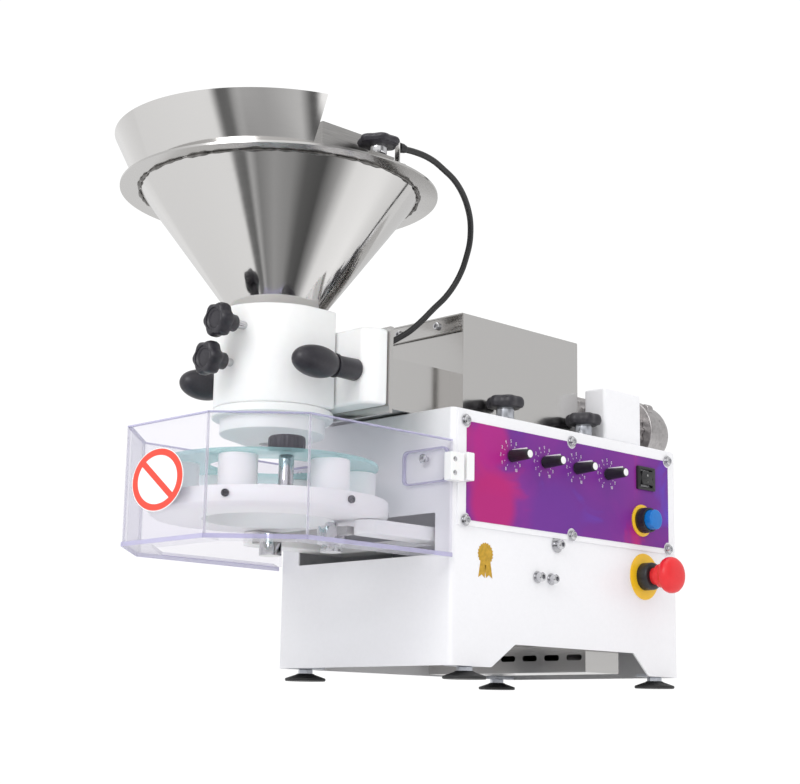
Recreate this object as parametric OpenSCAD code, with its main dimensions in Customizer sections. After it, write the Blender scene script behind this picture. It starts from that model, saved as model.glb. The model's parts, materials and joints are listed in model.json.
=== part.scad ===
// Tabletop filled-dough forming machine.
// Cabinet axes: X along the control panel, Y into the machine, Z up.
// The row frame stands on the feet pads, centred on the overall box.

/* [Cabinet] */
// Width of the cabinet along the control panel
cabinet_w = 356; // [320:1:420]
// Depth of the cabinet
cabinet_d = 245; // [220:1:280]
// Height of the cabinet without its feet
cabinet_h = 245; // [220:1:280]
// Thickness of the cabinet sheet
sheet_t = 2; // [1.5:0.5:3]
// Height of the levelling feet below the cabinet
foot_h = 12; // [10:1:25]
// Radius of a foot pad
pad_r = 21; // [15:1:25]

/* [Hopper] */
// Outer radius of the hopper flange
ring_r = 155; // [140:1:170]
// Inner radius of the hopper flange
mouth_r = 134; // [120:1:145]
// Outer radius of the hopper's lower end
throat_r = 44; // [35:1:50]
// Height of the flange above the cabinet's bottom edge
ring_z = 451; // [430:1:480]
// Height of the front collar above the flange
collar_h = 48; // [30:1:70]
// Thickness of the hopper sheet
hopper_t = 1.5; // [1:0.5:2.5]

/* [Head] */
// Radius of the round end of the extruding head
head_r = 57; // [50:1:65]
// Height of the head's underside above the cabinet's bottom edge
head_z = 235; // [225:1:245]
// Height of the head's top
head_top_z = 330; // [310:1:340]
// Radius of each auger
auger_r = 18; // [14:1:22]

/* [Mould] */
// Outer radius of the mould drum
drum_r = 113; // [100:1:120]
// Radius of the circle of mould sleeves
sleeve_pitch_r = 85; // [75:1:90]
// Radius of a mould sleeve
sleeve_r = 18; // [15:1:20]
// Number of mould sleeves
sleeve_count = 6; // [4:1:8]
// Radius of the glass disc
glass_r = 103; // [95:1:110]

/* [Guard] */
// Reach of the guard in front of the cabinet
guard_reach = 246; // [220:1:260]
// Height of the guard
guard_h = 112; // [90:1:130]
// Thickness of the clear sheet
guard_t = 4; // [3:1:6]

/* [Controls] */
// Distance between neighbouring dials
dial_pitch = 50.5; // [45:1:60]
// Radius of the emergency stop's mushroom
stop_r = 19; // [15:1:20]

/* [Hidden] */
$fn = 64;
fit = 0.06;
gap = 0.4;
edge_r = 5;
frame_x = 66.75;
frame_y = 122;
axis_x = -122;
axis_y = 122;
cover_lo = [56, 40, 245];
cover_hi = [236, 204, 354];
cover_t = 1.5;
flange_x = -66;
flange_t = 4;
wing_x = -92;
wing_plan = [
  [wing_x, 32], [wing_x + 12, 22], [flange_x, 22],
  [flange_x, 222], [wing_x + 12, 222], [wing_x, 212]
];
neck_lo = [-62, 62, 246];
neck_hi = [60, 182, 297];
auger_y = [101, 143];
auger_z = 284;
shaft_r = 7;
open_lo = [-10, 22, 104];
open_hi = [10, 217, 144];
foot_a = 29.7;
foot_b = 10;
foot_pts = [for (x = [foot_a, cabinet_w - foot_a], y = [foot_b, cabinet_d - foot_b]) [x, y]];
panel_lo = [6, -1.5, 131.5];
panel_hi = [349, 0, 243];
overlay_lo = [17.5, -2, 137];
overlay_hi = [339, -1.5, 232.5];
screw_x = [16, 175, 338];
screw_z = [136.5, 233];
dial_x = 81.5;
dial_z = 206;
dial_r = 6.2;
dial_tip_r = 4.8;
pot_shaft_r = 3;
rocker_x = 298;
rocker_z = 209;
rocker_profile = [[-7.5, -3.8], [-7.5, -9], [0, -6.2], [7.5, -7.2], [7.5, -3.8], [2, 3], [-2, 3]];
button_x = 291;
button_z = 163;
stop_x = 297;
stop_z = 104;
star_r = 19.5;
cover_knob_y = 20;
cover_knob_x = [97, 221];
stud_r = 4;
front_knobs = [[104, 308], [118, 274]];
clamp_y = [39, 205];
clamp_z = 270;
egg_r = 15;
egg_half = 27;
egg_steps = 16;
duct_lo = [208, 8, 1];
duct_hi = [262, 230, 26];
duct_t = 1.5;
duct_slot_y = [16, 46, 76, 106];
hole_reach = 8;
control_hole_r = 11.2;
cutout = [[55, -1], [305, -1], [278, 23], [91, 23]];
inlet_x = 290;
inlet_z = 40;
bolt_pts = [[153, 125], [123, 90.5], [144, 90]];
lip_screw_y = [76, 131, 168];
keyhole_y = [33, 212];
keyhole_z = 184;
keyhole_drop = 12;
bridge_knob_y = [-27, 271];
flange_h = 2;
motor_y = 74;
motor_z = 276;
motor_r = 35.5;
bell_x = 363;
drum_z = 131;
drum_t = 19;
drum_hole_r = 62;
glass_z = 181;
glass_t = 4;
post_a = -120;
post_r = 82;
guard_z = 100;
cable_r = 3;
cable_sides = 10;
cable_steps = 3;
cable_knots = [
  [-120, -28, 466], [-97, -27, 470], [-70, -26, 471], [-40, -22, 466], [-14, -17, 457],
  [8, -9, 442], [22, 0, 423], [27, 10, 400], [24, 23, 373], [9, 37, 348],
  [-8, 52, 325], [-24, 64, 312], [-38, 72, 299], [-42, 75, 280]
];
gland_lo = [-108, -27, 470];
gland_l = 11;
bridge_star_r = 20.4;
bridge_star_t = 8;

module in_frame() translate([-frame_x, -frame_y, foot_h]) children();

module block(lo, hi) translate(lo) cube(hi - lo);

module along_y(x, y, z) translate([x, y, z]) rotate([-90, 0, 0]) children();

module along_x(x, y, z) translate([x, y, z]) rotate([0, 90, 0]) children();

module rounded_plan(w, d, r) {
  translate([r, 0]) square([w - 2 * r, d]);
  translate([0, r]) square([w, d - 2 * r]);
  for (x = [r, w - r], y = [r, d - r]) translate([x, y]) circle(r = r);
}

module shell() difference() {
  linear_extrude(cabinet_h) rounded_plan(cabinet_w, cabinet_d, edge_r);
  translate([sheet_t, sheet_t, -1]) linear_extrude(cabinet_h - sheet_t + 1)
    rounded_plan(cabinet_w - 2 * sheet_t, cabinet_d - 2 * sheet_t, edge_r - sheet_t);
}

module control_holes() {
  for (i = [0:3]) along_y(dial_x + i * dial_pitch, -hole_reach, dial_z) cylinder(r = 5, h = 2 * hole_reach);
  block([rocker_x - 13.5, -hole_reach, rocker_z - 11], [rocker_x + 13.5, hole_reach, rocker_z + 11]);
  along_y(button_x, -hole_reach, button_z) cylinder(r = control_hole_r, h = 2 * hole_reach);
  along_y(stop_x, -hole_reach, stop_z) cylinder(r = control_hole_r, h = 2 * hole_reach);
}

module cabinet_front() color([0.93, 0.93, 0.94]) in_frame() difference() {
  intersection() {
    shell();
    block([-1, -1, 0], [cabinet_w + 1, edge_r, cabinet_h - sheet_t]);
  }
  control_holes();
  along_y(0, -1, 0) linear_extrude(sheet_t + 2) mirror([0, 1]) polygon(cutout);
}

module cabinet_side() color([0.93, 0.93, 0.94]) in_frame() difference() {
  intersection() {
    shell();
    block([-1, edge_r, 0], [edge_r, cabinet_d - edge_r, cabinet_h - sheet_t]);
  }
  block(open_lo, open_hi);
}

module cabinet_wrap() color([0.93, 0.93, 0.94]) in_frame() difference() {
  intersection() {
    shell();
    union() {
      block([-1, cabinet_d - edge_r, 0], [cabinet_w + 1, cabinet_d + 1, cabinet_h - sheet_t]);
      block([cabinet_w - edge_r, edge_r, 0], [cabinet_w + 1, cabinet_d, cabinet_h - sheet_t]);
    }
  }
  block([inlet_x - 14, cabinet_d - 5, inlet_z - 10], [inlet_x + 14, cabinet_d + 5, inlet_z + 10]);
}

module cabinet_top() color([0.93, 0.93, 0.94]) in_frame() difference() {
  translate([0, 0, cabinet_h - sheet_t]) linear_extrude(sheet_t) rounded_plan(cabinet_w, cabinet_d, edge_r);
  block([90, 85, cabinet_h - 5], [210, 160, cabinet_h + 1]);
}

module mains_inlet() color([0.06, 0.06, 0.07]) in_frame() difference() {
  union() {
    block([inlet_x - 25, cabinet_d, inlet_z - 14], [inlet_x + 25, cabinet_d + 3, inlet_z + 14]);
    block([inlet_x - 13.5, cabinet_d - 24, inlet_z - 9.5], [inlet_x + 13.5, cabinet_d, inlet_z + 9.5]);
  }
  block([inlet_x - 12, cabinet_d - 16, inlet_z - 8], [inlet_x + 12, cabinet_d + 5, inlet_z + 8]);
  for (x = [-20, 20]) along_y(inlet_x + x, cabinet_d - 1, inlet_z) cylinder(r = 1.7, h = 6);
}

module bottom_tray() color([0.72, 0.72, 0.73]) in_frame() {
  difference() {
    block([60, sheet_t, 26], [300, cabinet_d - sheet_t, 27.5]);
    for (i = [0:2], j = [0:2]) block([110 + i * 26, 40 + j * 60, 25], [114 + i * 26, 80 + j * 60, 29]);
  }
  difference() {
    block(duct_lo, duct_hi);
    block(duct_lo + [duct_t, duct_t, duct_t], duct_hi + [-duct_t, -duct_t, duct_t]);
    for (y = duct_slot_y) {
      block([duct_lo[0] - 1, y, 13], [duct_lo[0] + 3, y + 14, 19]);
      for (e = [0, 14]) along_x(duct_lo[0] - 1, y + e, 16) cylinder(r = 3, h = 4);
    }
  }
}

function p_bracket(p) = p[1] < cabinet_d / 2 ? sheet_t + 0.2 - p[1] : cabinet_d - sheet_t - 20.2 - p[1];

module feet() color([0.08, 0.08, 0.09]) in_frame() for (p = foot_pts) translate([p[0], p[1], 0]) {
  translate([0, 0, -foot_h]) cylinder(r = pad_r, h = 3);
  translate([0, 0, 3 - foot_h]) cylinder(r1 = pad_r - 2, r2 = 9, h = 4);
  translate([0, 0, 7 - foot_h]) cylinder(r = 7.5, h = 5, $fn = 6);
  cylinder(r = stud_r, h = 20);
  translate([-16, p_bracket(p), 0]) cube([32, 20, 3]);
}

module panel_plate() color([0.93, 0.93, 0.94]) in_frame() difference() {
  block(panel_lo, panel_hi);
  control_holes();
}

module panel_overlay() color([0.45, 0.13, 0.5]) in_frame() difference() {
  block(overlay_lo, overlay_hi);
  control_holes();
}

module socket_screw(r, h, socket_r) difference() {
  cylinder(r = r, h = h);
  translate([0, 0, -1]) cylinder(r = socket_r, h = h * 0.6 + 1, $fn = 6);
}

module fasteners() color([0.8, 0.8, 0.82]) in_frame() {
  for (x = screw_x, z = screw_z) along_y(x, -6, z) {
    socket_screw(4.5, 3.2, 2.4);
    translate([0, 0, 3.2]) cylinder(r = 6, h = 0.8);
  }
  for (p = bolt_pts) along_y(p[0], -5, p[1]) socket_screw(4.5, 5, 2.4);
  for (y = lip_screw_y) along_x(cover_lo[0] - 4, y, cover_hi[2] - 9) socket_screw(4, 4, 2);
  for (y = keyhole_y) along_x(-8.5, y, keyhole_z + keyhole_drop) {
    cylinder(r = 4.8, h = 3.1);
    translate([0, 0, 3.1]) cylinder(r = 2.2, h = 5.4);
  }
}

module dial(i) along_y(dial_x + i * dial_pitch, 0, dial_z) {
  translate([0, 0, -27]) cylinder(r1 = dial_tip_r - 0.8, r2 = dial_tip_r - 0.4, h = 3);
  translate([0, 0, -24]) cylinder(r1 = dial_tip_r, r2 = dial_r, h = 21);
  translate([-0.8, -dial_r - 0.6, -22]) cube([1.6, 3, 18]);
  translate([0, 0, -3]) cylinder(r = pot_shaft_r, h = 15);
}

module dial_dough() color([0.06, 0.06, 0.07]) in_frame() dial(0);

module dial_filling() color([0.06, 0.06, 0.07]) in_frame() dial(1);

module dial_mould() color([0.06, 0.06, 0.07]) in_frame() dial(2);

module dial_stop() color([0.06, 0.06, 0.07]) in_frame() dial(3);

module potentiometers() color([0.3, 0.32, 0.34]) in_frame()
for (i = [0:3]) along_y(dial_x + i * dial_pitch, 0, dial_z) difference() {
  union() {
    translate([0, 0, -2]) cylinder(r = 4.6, h = 4);
    translate([0, 0, 2]) cylinder(r = 12, h = 14);
    translate([-7, 6, 2]) cube([14, 12, 3]);
  }
  translate([0, 0, -3]) cylinder(r = pot_shaft_r + fit, h = 16);
}

module rocker_frame() color([0.07, 0.07, 0.08]) in_frame() difference() {
  union() {
    block([rocker_x - 15.5, -4.5, rocker_z - 12.5], [rocker_x + 15.5, -2, rocker_z + 12.5]);
    block([rocker_x - 13, -2, rocker_z - 10.5], [rocker_x + 13, 20, rocker_z + 10.5]);
  }
  block([rocker_x - 10, -5, rocker_z - 9.4], [rocker_x + 10, 14, rocker_z + 9.4]);
  along_x(rocker_x - 12, 2, rocker_z) cylinder(r = 1.5 + fit, h = 24);
}

module rocker() color([0.05, 0.05, 0.06]) in_frame() along_x(rocker_x - 9.5, 2, rocker_z) {
  linear_extrude(19) polygon(rocker_profile);
  translate([0, 0, -2]) cylinder(r = 1.5, h = 23);
}

module button_bezel() color([0.09, 0.09, 0.1]) in_frame() along_y(button_x, 0, button_z) difference() {
  union() {
    translate([0, 0, -3]) cylinder(r = 17, h = 1);
    translate([0, 0, -14]) cylinder(r = 13.5, h = 11);
    translate([0, 0, -2]) cylinder(r = 11, h = 34);
  }
  translate([0, 0, -15]) cylinder(r = 10.5 + fit, h = 30);
}

module button_cap() color([0.05, 0.35, 0.75]) in_frame() along_y(button_x, 0, button_z) {
  translate([0, 0, -22]) cylinder(r1 = 9.5, r2 = 10.5, h = 2);
  translate([0, 0, -20]) cylinder(r = 10.5, h = 22);
}

module stop_plate() color([0.95, 0.8, 0.1]) in_frame() along_y(stop_x, -1, stop_z) difference() {
  cylinder(r = 24.5, h = 1);
  translate([0, 0, -1]) cylinder(r = 11.2, h = 3);
}

module stop_collar() color([0.07, 0.07, 0.08]) in_frame() along_y(stop_x, 0, stop_z) difference() {
  union() {
    translate([0, 0, -14]) cylinder(r = 14.5, h = 13);
    translate([0, 0, -1]) cylinder(r = 11, h = 35);
  }
  translate([0, 0, -15]) cylinder(r = 9 + fit, h = 38);
}

module stop_head() color([0.85, 0.08, 0.08]) in_frame() along_y(stop_x, 0, stop_z) {
  translate([0, 0, -46.5]) cylinder(r1 = stop_r - 3, r2 = stop_r, h = 4);
  translate([0, 0, -42.5]) cylinder(r = stop_r, h = 11);
  translate([0, 0, -31.5]) cylinder(r1 = stop_r, r2 = 12, h = 4);
  translate([0, 0, -27.5]) cylinder(r = 12, h = 7);
  translate([0, 0, -20.5]) cylinder(r = 9, h = 35);
}

module electronics() color([0.1, 0.35, 0.2]) in_frame() {
  block([110, 140, 30], [250, 230, 60]);
  block([40, 60, 150], [300, 61.6, 225]);
  block([60, 46, 160], [100, 60, 185]);
  block([200, 50, 160], [240, 60, 210]);
}

module cover() color([0.75, 0.75, 0.76]) in_frame() {
  difference() {
    block(cover_lo, cover_hi);
    block(cover_lo + [-1, cover_t, -1], cover_hi - [cover_t, cover_t, cover_t]);
    along_x(cover_hi[0] - 5, motor_y, motor_z) cylinder(r = 25, h = 10);
  }
  block(
    [cover_lo[0], cover_lo[1] + cover_t, cover_hi[2] - 17],
    [cover_lo[0] + cover_t, cover_hi[1] - cover_t, cover_hi[2] - cover_t]
  );
  difference() {
    block([60, 8, 245], [236, cover_lo[1], 246.5]);
    for (x = cover_knob_x) translate([x, cover_knob_y, 240]) cylinder(r = stud_r + 0.5, h = 10);
  }
}

module star(r, t) {
  cylinder(r = r * 0.82, h = t);
  for (a = [0:60:300]) rotate(a) translate([r * 0.66, 0, 0]) cylinder(r = r * 0.34, h = t);
}

module cover_knob(x) translate([x, cover_knob_y, 0]) difference() {
  union() {
    translate([0, 0, 246.7]) cylinder(r = 9, h = 12);
    translate([0, 0, 258.7]) star(star_r, 12);
  }
  translate([0, 0, 240]) cylinder(r = stud_r + fit, h = 26);
}

module cover_knob_left() color([0.06, 0.06, 0.07]) in_frame() cover_knob(cover_knob_x[0]);

module cover_knob_right() color([0.06, 0.06, 0.07]) in_frame() cover_knob(cover_knob_x[1]);

module cover_studs() for (x = cover_knob_x) translate([x, cover_knob_y, 245]) cylinder(r = stud_r, h = 19);

module bulkhead() color([0.72, 0.72, 0.73]) in_frame() {
  difference() {
    block([60, 42, 246], [64, 202, 336]);
    for (y = auger_y) along_x(50, y, auger_z) cylinder(r = shaft_r + 0.5, h = 20);
  }
  cover_studs();
}

module neck() color([0.73, 0.73, 0.74]) in_frame() {
  difference() {
    block(neck_lo, neck_hi);
    block(neck_lo + [-1, 3, 3], neck_hi + [1, -3, -3]);
  }
  translate([-38, 72, neck_hi[2]]) cylinder(r = 6, h = 4);
}

module head_flange() color([0.75, 0.75, 0.76]) in_frame() difference() {
  block([flange_x, 20, 231], [flange_x + flange_t, 224, 314]);
  for (y = auger_y) along_x(flange_x - 1, y, auger_z) cylinder(r = shaft_r + fit, h = 8);
}

module head_block() color([0.95, 0.95, 0.95]) in_frame() difference() {
  union() {
    translate([axis_x, axis_y, head_z]) cylinder(r = head_r, h = head_top_z - head_z);
    block([axis_x, axis_y - head_r, head_z], [wing_x, axis_y + head_r, head_top_z]);
    translate([0, 0, 238]) linear_extrude(73) polygon(wing_plan);
  }
  translate([axis_x, axis_y, auger_z - 20]) cylinder(r = throat_r - 4, h = 80);
  translate([axis_x, axis_y, head_z - 1]) cylinder(r = 20, h = 50);
  for (y = auger_y) along_x(axis_x - 20, y, auger_z) cylinder(r = auger_r + gap, h = 90);
  for (p = front_knobs) along_x(axis_x - head_r - 1, p[0], p[1]) cylinder(r = stud_r + fit, h = 12);
  block([flange_x, 0, head_z - 1], [0, 300, head_top_z + 1]);
  for (y = clamp_y) along_x(wing_x - 30, y, clamp_z) cylinder(r = 6 + fit, h = 50);
}

module nozzle() color([0.94, 0.94, 0.94]) in_frame() translate([axis_x, axis_y, 0]) difference() {
  union() {
    translate([0, 0, 226]) cylinder(r = head_r + 1, h = 9);
    translate([0, 0, 212]) cylinder(r = 50, h = 14);
    translate([0, 0, 204]) cylinder(r1 = 30, r2 = 50, h = 8);
  }
  translate([0, 0, 200]) cylinder(r = 12, h = 40);
  translate([flange_x - 0.3 - axis_x, -60, 200]) cube([20, 120, 40]);
}

egg = [for (k = [0:egg_steps])
  [egg_r * sin(180 * k / egg_steps), -egg_half * cos(180 * k / egg_steps)]];

module clamp(y) along_x(0, y, clamp_z) {
  translate([0, 0, wing_x - 30]) cylinder(r1 = 9, r2 = 10.5, h = 29.5);
  translate([0, 0, wing_x - 50]) rotate_extrude() polygon(egg);
  translate([0, 0, wing_x - 2]) cylinder(r = 6, h = 18);
}

module clamp_near() color([0.06, 0.06, 0.07]) in_frame() clamp(clamp_y[0]);

module clamp_far() color([0.06, 0.06, 0.07]) in_frame() clamp(clamp_y[1]);

module front_knob(p) along_x(axis_x - head_r, p[0], p[1]) {
  translate([0, 0, -22]) cylinder(r = stud_r, h = 32);
  translate([0, 0, -20]) cylinder(r = 8, h = 12);
  translate([0, 0, -34]) star(17, 14);
}

module star_upper() color([0.06, 0.06, 0.07]) in_frame() front_knob(front_knobs[0]);

module star_lower() color([0.06, 0.06, 0.07]) in_frame() front_knob(front_knobs[1]);

module hopper() color([0.75, 0.75, 0.76]) in_frame() translate([axis_x, axis_y, 0]) rotate_extrude($fn = 128)
  polygon([
    [throat_r - 2, head_top_z],
    [throat_r, head_top_z],
    [mouth_r + 1.5, ring_z],
    [mouth_r + 1.5, ring_z + flange_h],
    [mouth_r - 0.5, ring_z + flange_h]
  ]);

module hopper_flange() color([0.75, 0.75, 0.76]) in_frame() translate([axis_x, axis_y, ring_z])
difference() {
  cylinder(r = ring_r, h = flange_h, $fn = 128);
  translate([0, 0, -1]) cylinder(r = mouth_r + 1.8, h = flange_h + 2, $fn = 128);
}

module collar_solid(d) hull() {
  translate([axis_x - 2, axis_y, ring_z + 2]) cylinder(r = 136 - d, h = 0.5, $fn = 96);
  translate([axis_x - 15, axis_y, ring_z + 1.5 + collar_h]) cylinder(r = 150 - d, h = 0.5, $fn = 96);
}

module collar() color([0.76, 0.76, 0.77]) in_frame() difference() {
  collar_solid(0);
  translate([0, 0, -0.1]) collar_solid(hopper_t);
  translate([0, 0, 0.1]) collar_solid(hopper_t);
  block([-188, -100, ring_z], [100, 400, 600]);
}

module bridge() color([0.74, 0.74, 0.75]) in_frame() {
  difference() {
    block([-182, -6, ring_z + 2], [-118, 250, 480]);
    block([-180.5, -4.5, ring_z], [-119.5, 248.5, 478.5]);
  }
  difference() {
    for (y = [-34, 250]) block([-146, y, ring_z + 2], [-118, y + 28, ring_z + 4]);
    for (y = bridge_knob_y) translate([-132, y, ring_z]) cylinder(r = 4.5, h = 6);
  }
}

module bridge_knob(y) translate([-132, y, 0]) difference() {
  union() {
    translate([0, 0, ring_z + 5]) cylinder(r = 8, h = 8);
    translate([0, 0, ring_z + 13]) star(bridge_star_r, bridge_star_t);
  }
  translate([0, 0, ring_z]) cylinder(r = stud_r + fit, h = 19);
}

module bridge_knob_near() color([0.06, 0.06, 0.07]) in_frame() bridge_knob(bridge_knob_y[0]);

module bridge_knob_far() color([0.06, 0.06, 0.07]) in_frame() bridge_knob(bridge_knob_y[1]);

module hopper_sensor() color([0.08, 0.08, 0.09]) in_frame() {
  block([gland_lo[0], gland_lo[1] - 5, ring_z + 2], [gland_lo[0] + 2.5, gland_lo[1] + 5, gland_lo[2] + 5]);
  along_x(gland_lo[0], gland_lo[1], gland_lo[2]) cylinder(r = 4.5, h = gland_l);
  for (y = bridge_knob_y) translate([-132, y, ring_z + 2]) cylinder(r = stud_r, h = 16);
}

function unit(v) = v / norm(v);

function between(a, b, c, d, t) = b + t * (c - a) / 2
  + t * t * (2 * a - 5 * b + 4 * c - d) / 2
  + t * t * t * (3 * b - a - 3 * c + d) / 2;

function knot(i) = cable_knots[i];

cable_spans = len(cable_knots) - 3;

cable_inner = [for (i = [0:cable_spans - 1], k = [0:cable_steps - 1])
  between(knot(i), knot(i + 1), knot(i + 2), knot(i + 3), k / cable_steps)];

cable_path = concat(cable_inner, [knot(cable_spans + 1)]);

function heading(i) = unit(cable_path[min(i + 1, len(cable_path) - 1)] - cable_path[max(i - 1, 0)]);

function side(i) = unit(cross(heading(i), [0.2, 1, 0.1]));

function around(i, a) = cos(a) * side(i) + sin(a) * cross(heading(i), side(i));
function cable_ring(i) = [for (k = [0:cable_sides - 1])
  cable_path[i] + cable_r * around(i, 360 * k / cable_sides)];
cable_last = len(cable_path) - 1;
function at_ring(i, k) = i * cable_sides + k % cable_sides;

module sensor_cable() color([0.05, 0.05, 0.05]) in_frame() polyhedron(
  points = [for (i = [0:cable_last]) each cable_ring(i)],
  faces = concat(
    [[for (k = [0:cable_sides - 1]) k]],
    [for (i = [0:cable_last - 1], k = [0:cable_sides - 1])
      [at_ring(i, k), at_ring(i + 1, k), at_ring(i + 1, k + 1)]],
    [for (i = [0:cable_last - 1], k = [0:cable_sides - 1])
      [at_ring(i, k), at_ring(i + 1, k + 1), at_ring(i, k + 1)]],
    [[for (k = [0:cable_sides - 1]) at_ring(cable_last, cable_sides - 1 - k)]]
  ));

module auger(y, turn) along_x(0, y, auger_z) {
  translate([0, 0, axis_x - 12]) cylinder(r = shaft_r, h = 202);
  translate([0, 0, axis_x - 12]) linear_extrude(64, twist = turn * 720, $fn = 32)
    translate([auger_r - 11, 0]) circle(r = 10.5);
}

module auger_dough() color([0.74, 0.74, 0.75]) in_frame() auger(auger_y[0], 1);

module auger_filling() color([0.74, 0.74, 0.75]) in_frame() auger(auger_y[1], -1);

module gearmotors() color([0.35, 0.36, 0.38]) in_frame() {
  for (y = auger_y) along_x(70, y, auger_z) difference() {
    union() {
      cylinder(r = 20, h = 50);
      translate([0, 0, 50]) cylinder(r = 18, h = 90);
    }
    translate([0, 0, -1]) cylinder(r = shaft_r + fit, h = 12);
  }
  block([70, 90, 95], [150, 150, 140]);
  translate([110, 120, 62]) cylinder(r = 24, h = 33);
}

module arms() color([0.92, 0.92, 0.92]) in_frame() difference() {
  union() {
    for (y = [26, 186]) {
      block([-92, y, 114], [60, y + 28, drum_z - 0.5]);
      translate([-92, y + 14, 114]) cylinder(r = 14, h = drum_z - 114.5);
    }
    block([-90, 54, 116], [-74, 186, 126]);
    block([30, 54, 114], [60, 186, 126]);
    translate([-82, 78, 110]) cylinder(r = 14, h = 16);
  }
  translate([-82, 78, 100]) cylinder(r = 6 + fit, h = 40);
}

module drum() color([0.95, 0.95, 0.95]) in_frame() translate([axis_x - 1, axis_y, drum_z]) difference() {
  union() {
    cylinder(r1 = drum_r - 6, r2 = drum_r, h = 4);
    translate([0, 0, 4]) cylinder(r = drum_r, h = drum_t - 4);
  }
  translate([0, 0, -1]) cylinder(r = drum_hole_r, h = drum_t + 2);
}

module on_circle(r) translate([axis_x - 1, axis_y, 0]) for (k = [0:sleeve_count - 1])
  rotate(30 + 360 * k / sleeve_count) translate([r, 0, 0]) children();

module sleeves() color([0.96, 0.96, 0.96]) in_frame() on_circle(sleeve_pitch_r)
  translate([0, 0, drum_z + drum_t]) cylinder(r = sleeve_r, h = glass_z - drum_z - drum_t);

module rim_screws() color([0.05, 0.05, 0.05]) in_frame() on_circle(drum_r)
along_x(0, 0, drum_z + 11) difference() {
  translate([0, 0, 0.2]) cylinder(r = 3.5, h = 3);
  translate([0, 0, 2]) cylinder(r = 1.8, h = 3, $fn = 6);
}

module glass_disc() color([0.55, 0.85, 0.75, 0.5]) in_frame() translate([axis_x - 1, axis_y, glass_z])
difference() {
  cylinder(r = glass_r, h = glass_t);
  translate([0, 0, -1]) cylinder(r = drum_hole_r - 4, h = glass_t + 2);
  rotate(post_a) translate([post_r, 0, -1]) cylinder(r = 5.5, h = glass_t + 2);
}

module at_post() translate([axis_x - 1, axis_y, 0]) rotate(post_a) translate([post_r, 0, 0]) children();

module glass_post() color([0.8, 0.8, 0.82]) in_frame() at_post() {
  translate([0, 0, drum_z + drum_t]) cylinder(r = 7, h = glass_z - drum_z - drum_t);
  translate([0, 0, glass_z]) cylinder(r = stud_r, h = 16);
}

module glass_knob() color([0.06, 0.06, 0.07]) in_frame() at_post() difference() {
  union() {
    translate([0, 0, glass_z + glass_t + 0.2]) cylinder(r = 10, h = 4);
    translate([0, 0, glass_z + glass_t + 4.2]) cylinder(r = 17, h = 13);
  }
  translate([0, 0, glass_z]) cylinder(r = stud_r + fit, h = 17);
}

module drive_pinion() color([0.6, 0.65, 0.72]) in_frame() translate([-82, 78, 0]) {
  translate([0, 0, 102]) cylinder(r = 6, h = 28);
  translate([0, 0, 102]) cylinder(r = 11, h = 7);
}

module guard_plan(d) polygon([
  [-1, -1 + d],
  [-182 + d * 0.41, -1 + d],
  [-guard_reach + d, 63 + d * 0.41],
  [-guard_reach + d, 182 - d * 0.41],
  [-182 + d * 0.41, 246 - d],
  [-1, 246 - d]
]);

module guard() color([0.8, 0.8, 0.95, 0.35]) in_frame() {
  difference() {
    translate([0, 0, guard_z]) linear_extrude(guard_h) guard_plan(0);
    translate([0, 0, guard_z + guard_t]) linear_extrude(guard_h) guard_plan(guard_t);
    translate([0, 0, guard_z - 1]) linear_extrude(guard_h) guard_plan(26);
    block([-31, 25, guard_z - 1], [5, 221, guard_z + guard_h + 1]);
  }
  difference() {
    for (y = [3, 182]) block([-5, y, 172], [-1, y + 60, 206]);
    for (y = keyhole_y) {
      along_x(-10, y, keyhole_z) cylinder(r = 5.5, h = 20);
      along_x(-10, y, keyhole_z + keyhole_drop) cylinder(r = 2.6, h = 20);
      block([-10, y - 2.6, keyhole_z], [5, y + 2.6, keyhole_z + keyhole_drop]);
    }
  }
}

module guard_sign() color([0.85, 0.1, 0.08]) in_frame() along_x(-guard_reach - 0.6, 122, 156) difference() {
  cylinder(r = 30, h = 0.5);
  translate([0, 0, -1]) difference() {
    cylinder(r = 23, h = 3);
    rotate(-45) translate([-30, -3.5, -1]) cube([60, 7, 5]);
  }
}

module guard_magnet() color([0.9, 0.9, 0.9]) in_frame() block([-14, -12, 171], [4, -2, 198]);

module guard_sensor() color([0.9, 0.9, 0.9]) in_frame() block([8, -12, 173], [18, -2, 200]);

module motor() color([0.7, 0.7, 0.71]) in_frame() along_x(0, motor_y, motor_z) {
  translate([0, 0, 237]) cylinder(r = 24, h = 20);
  translate([0, 0, 257]) cylinder(r = 28, h = bell_x - 257);
  translate([0, 0, bell_x]) cylinder(r = motor_r + 2, h = 14);
  translate([0, 0, bell_x + 22]) sphere(r = motor_r);
  for (a = [45:90:315]) rotate(a) translate([motor_r, 0, bell_x + 2]) cylinder(r = 6, h = 10);
}

module terminal_box() color([0.94, 0.94, 0.95]) in_frame() block([243, 8, 245.5], [306, 37, 302]);

cabinet_front();
cabinet_side();
cabinet_wrap();
cabinet_top();
bottom_tray();
feet();
panel_plate();
panel_overlay();
dial_dough();
dial_filling();
dial_mould();
dial_stop();
potentiometers();
rocker_frame();
rocker();
button_bezel();
button_cap();
stop_plate();
stop_collar();
stop_head();
fasteners();
electronics();
mains_inlet();
cover();
cover_knob_left();
cover_knob_right();
bulkhead();
neck();
head_flange();
head_block();
nozzle();
clamp_near();
clamp_far();
star_upper();
star_lower();
hopper();
hopper_flange();
collar();
bridge();
bridge_knob_near();
bridge_knob_far();
hopper_sensor();
sensor_cable();
auger_dough();
auger_filling();
gearmotors();
arms();
drum();
sleeves();
rim_screws();
glass_disc();
glass_post();
glass_knob();
drive_pinion();
guard();
guard_sign();
guard_magnet();
guard_sensor();
motor();
terminal_box();
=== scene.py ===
import json
import math

import bmesh
import bpy
from mathutils import Matrix, Vector

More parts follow.
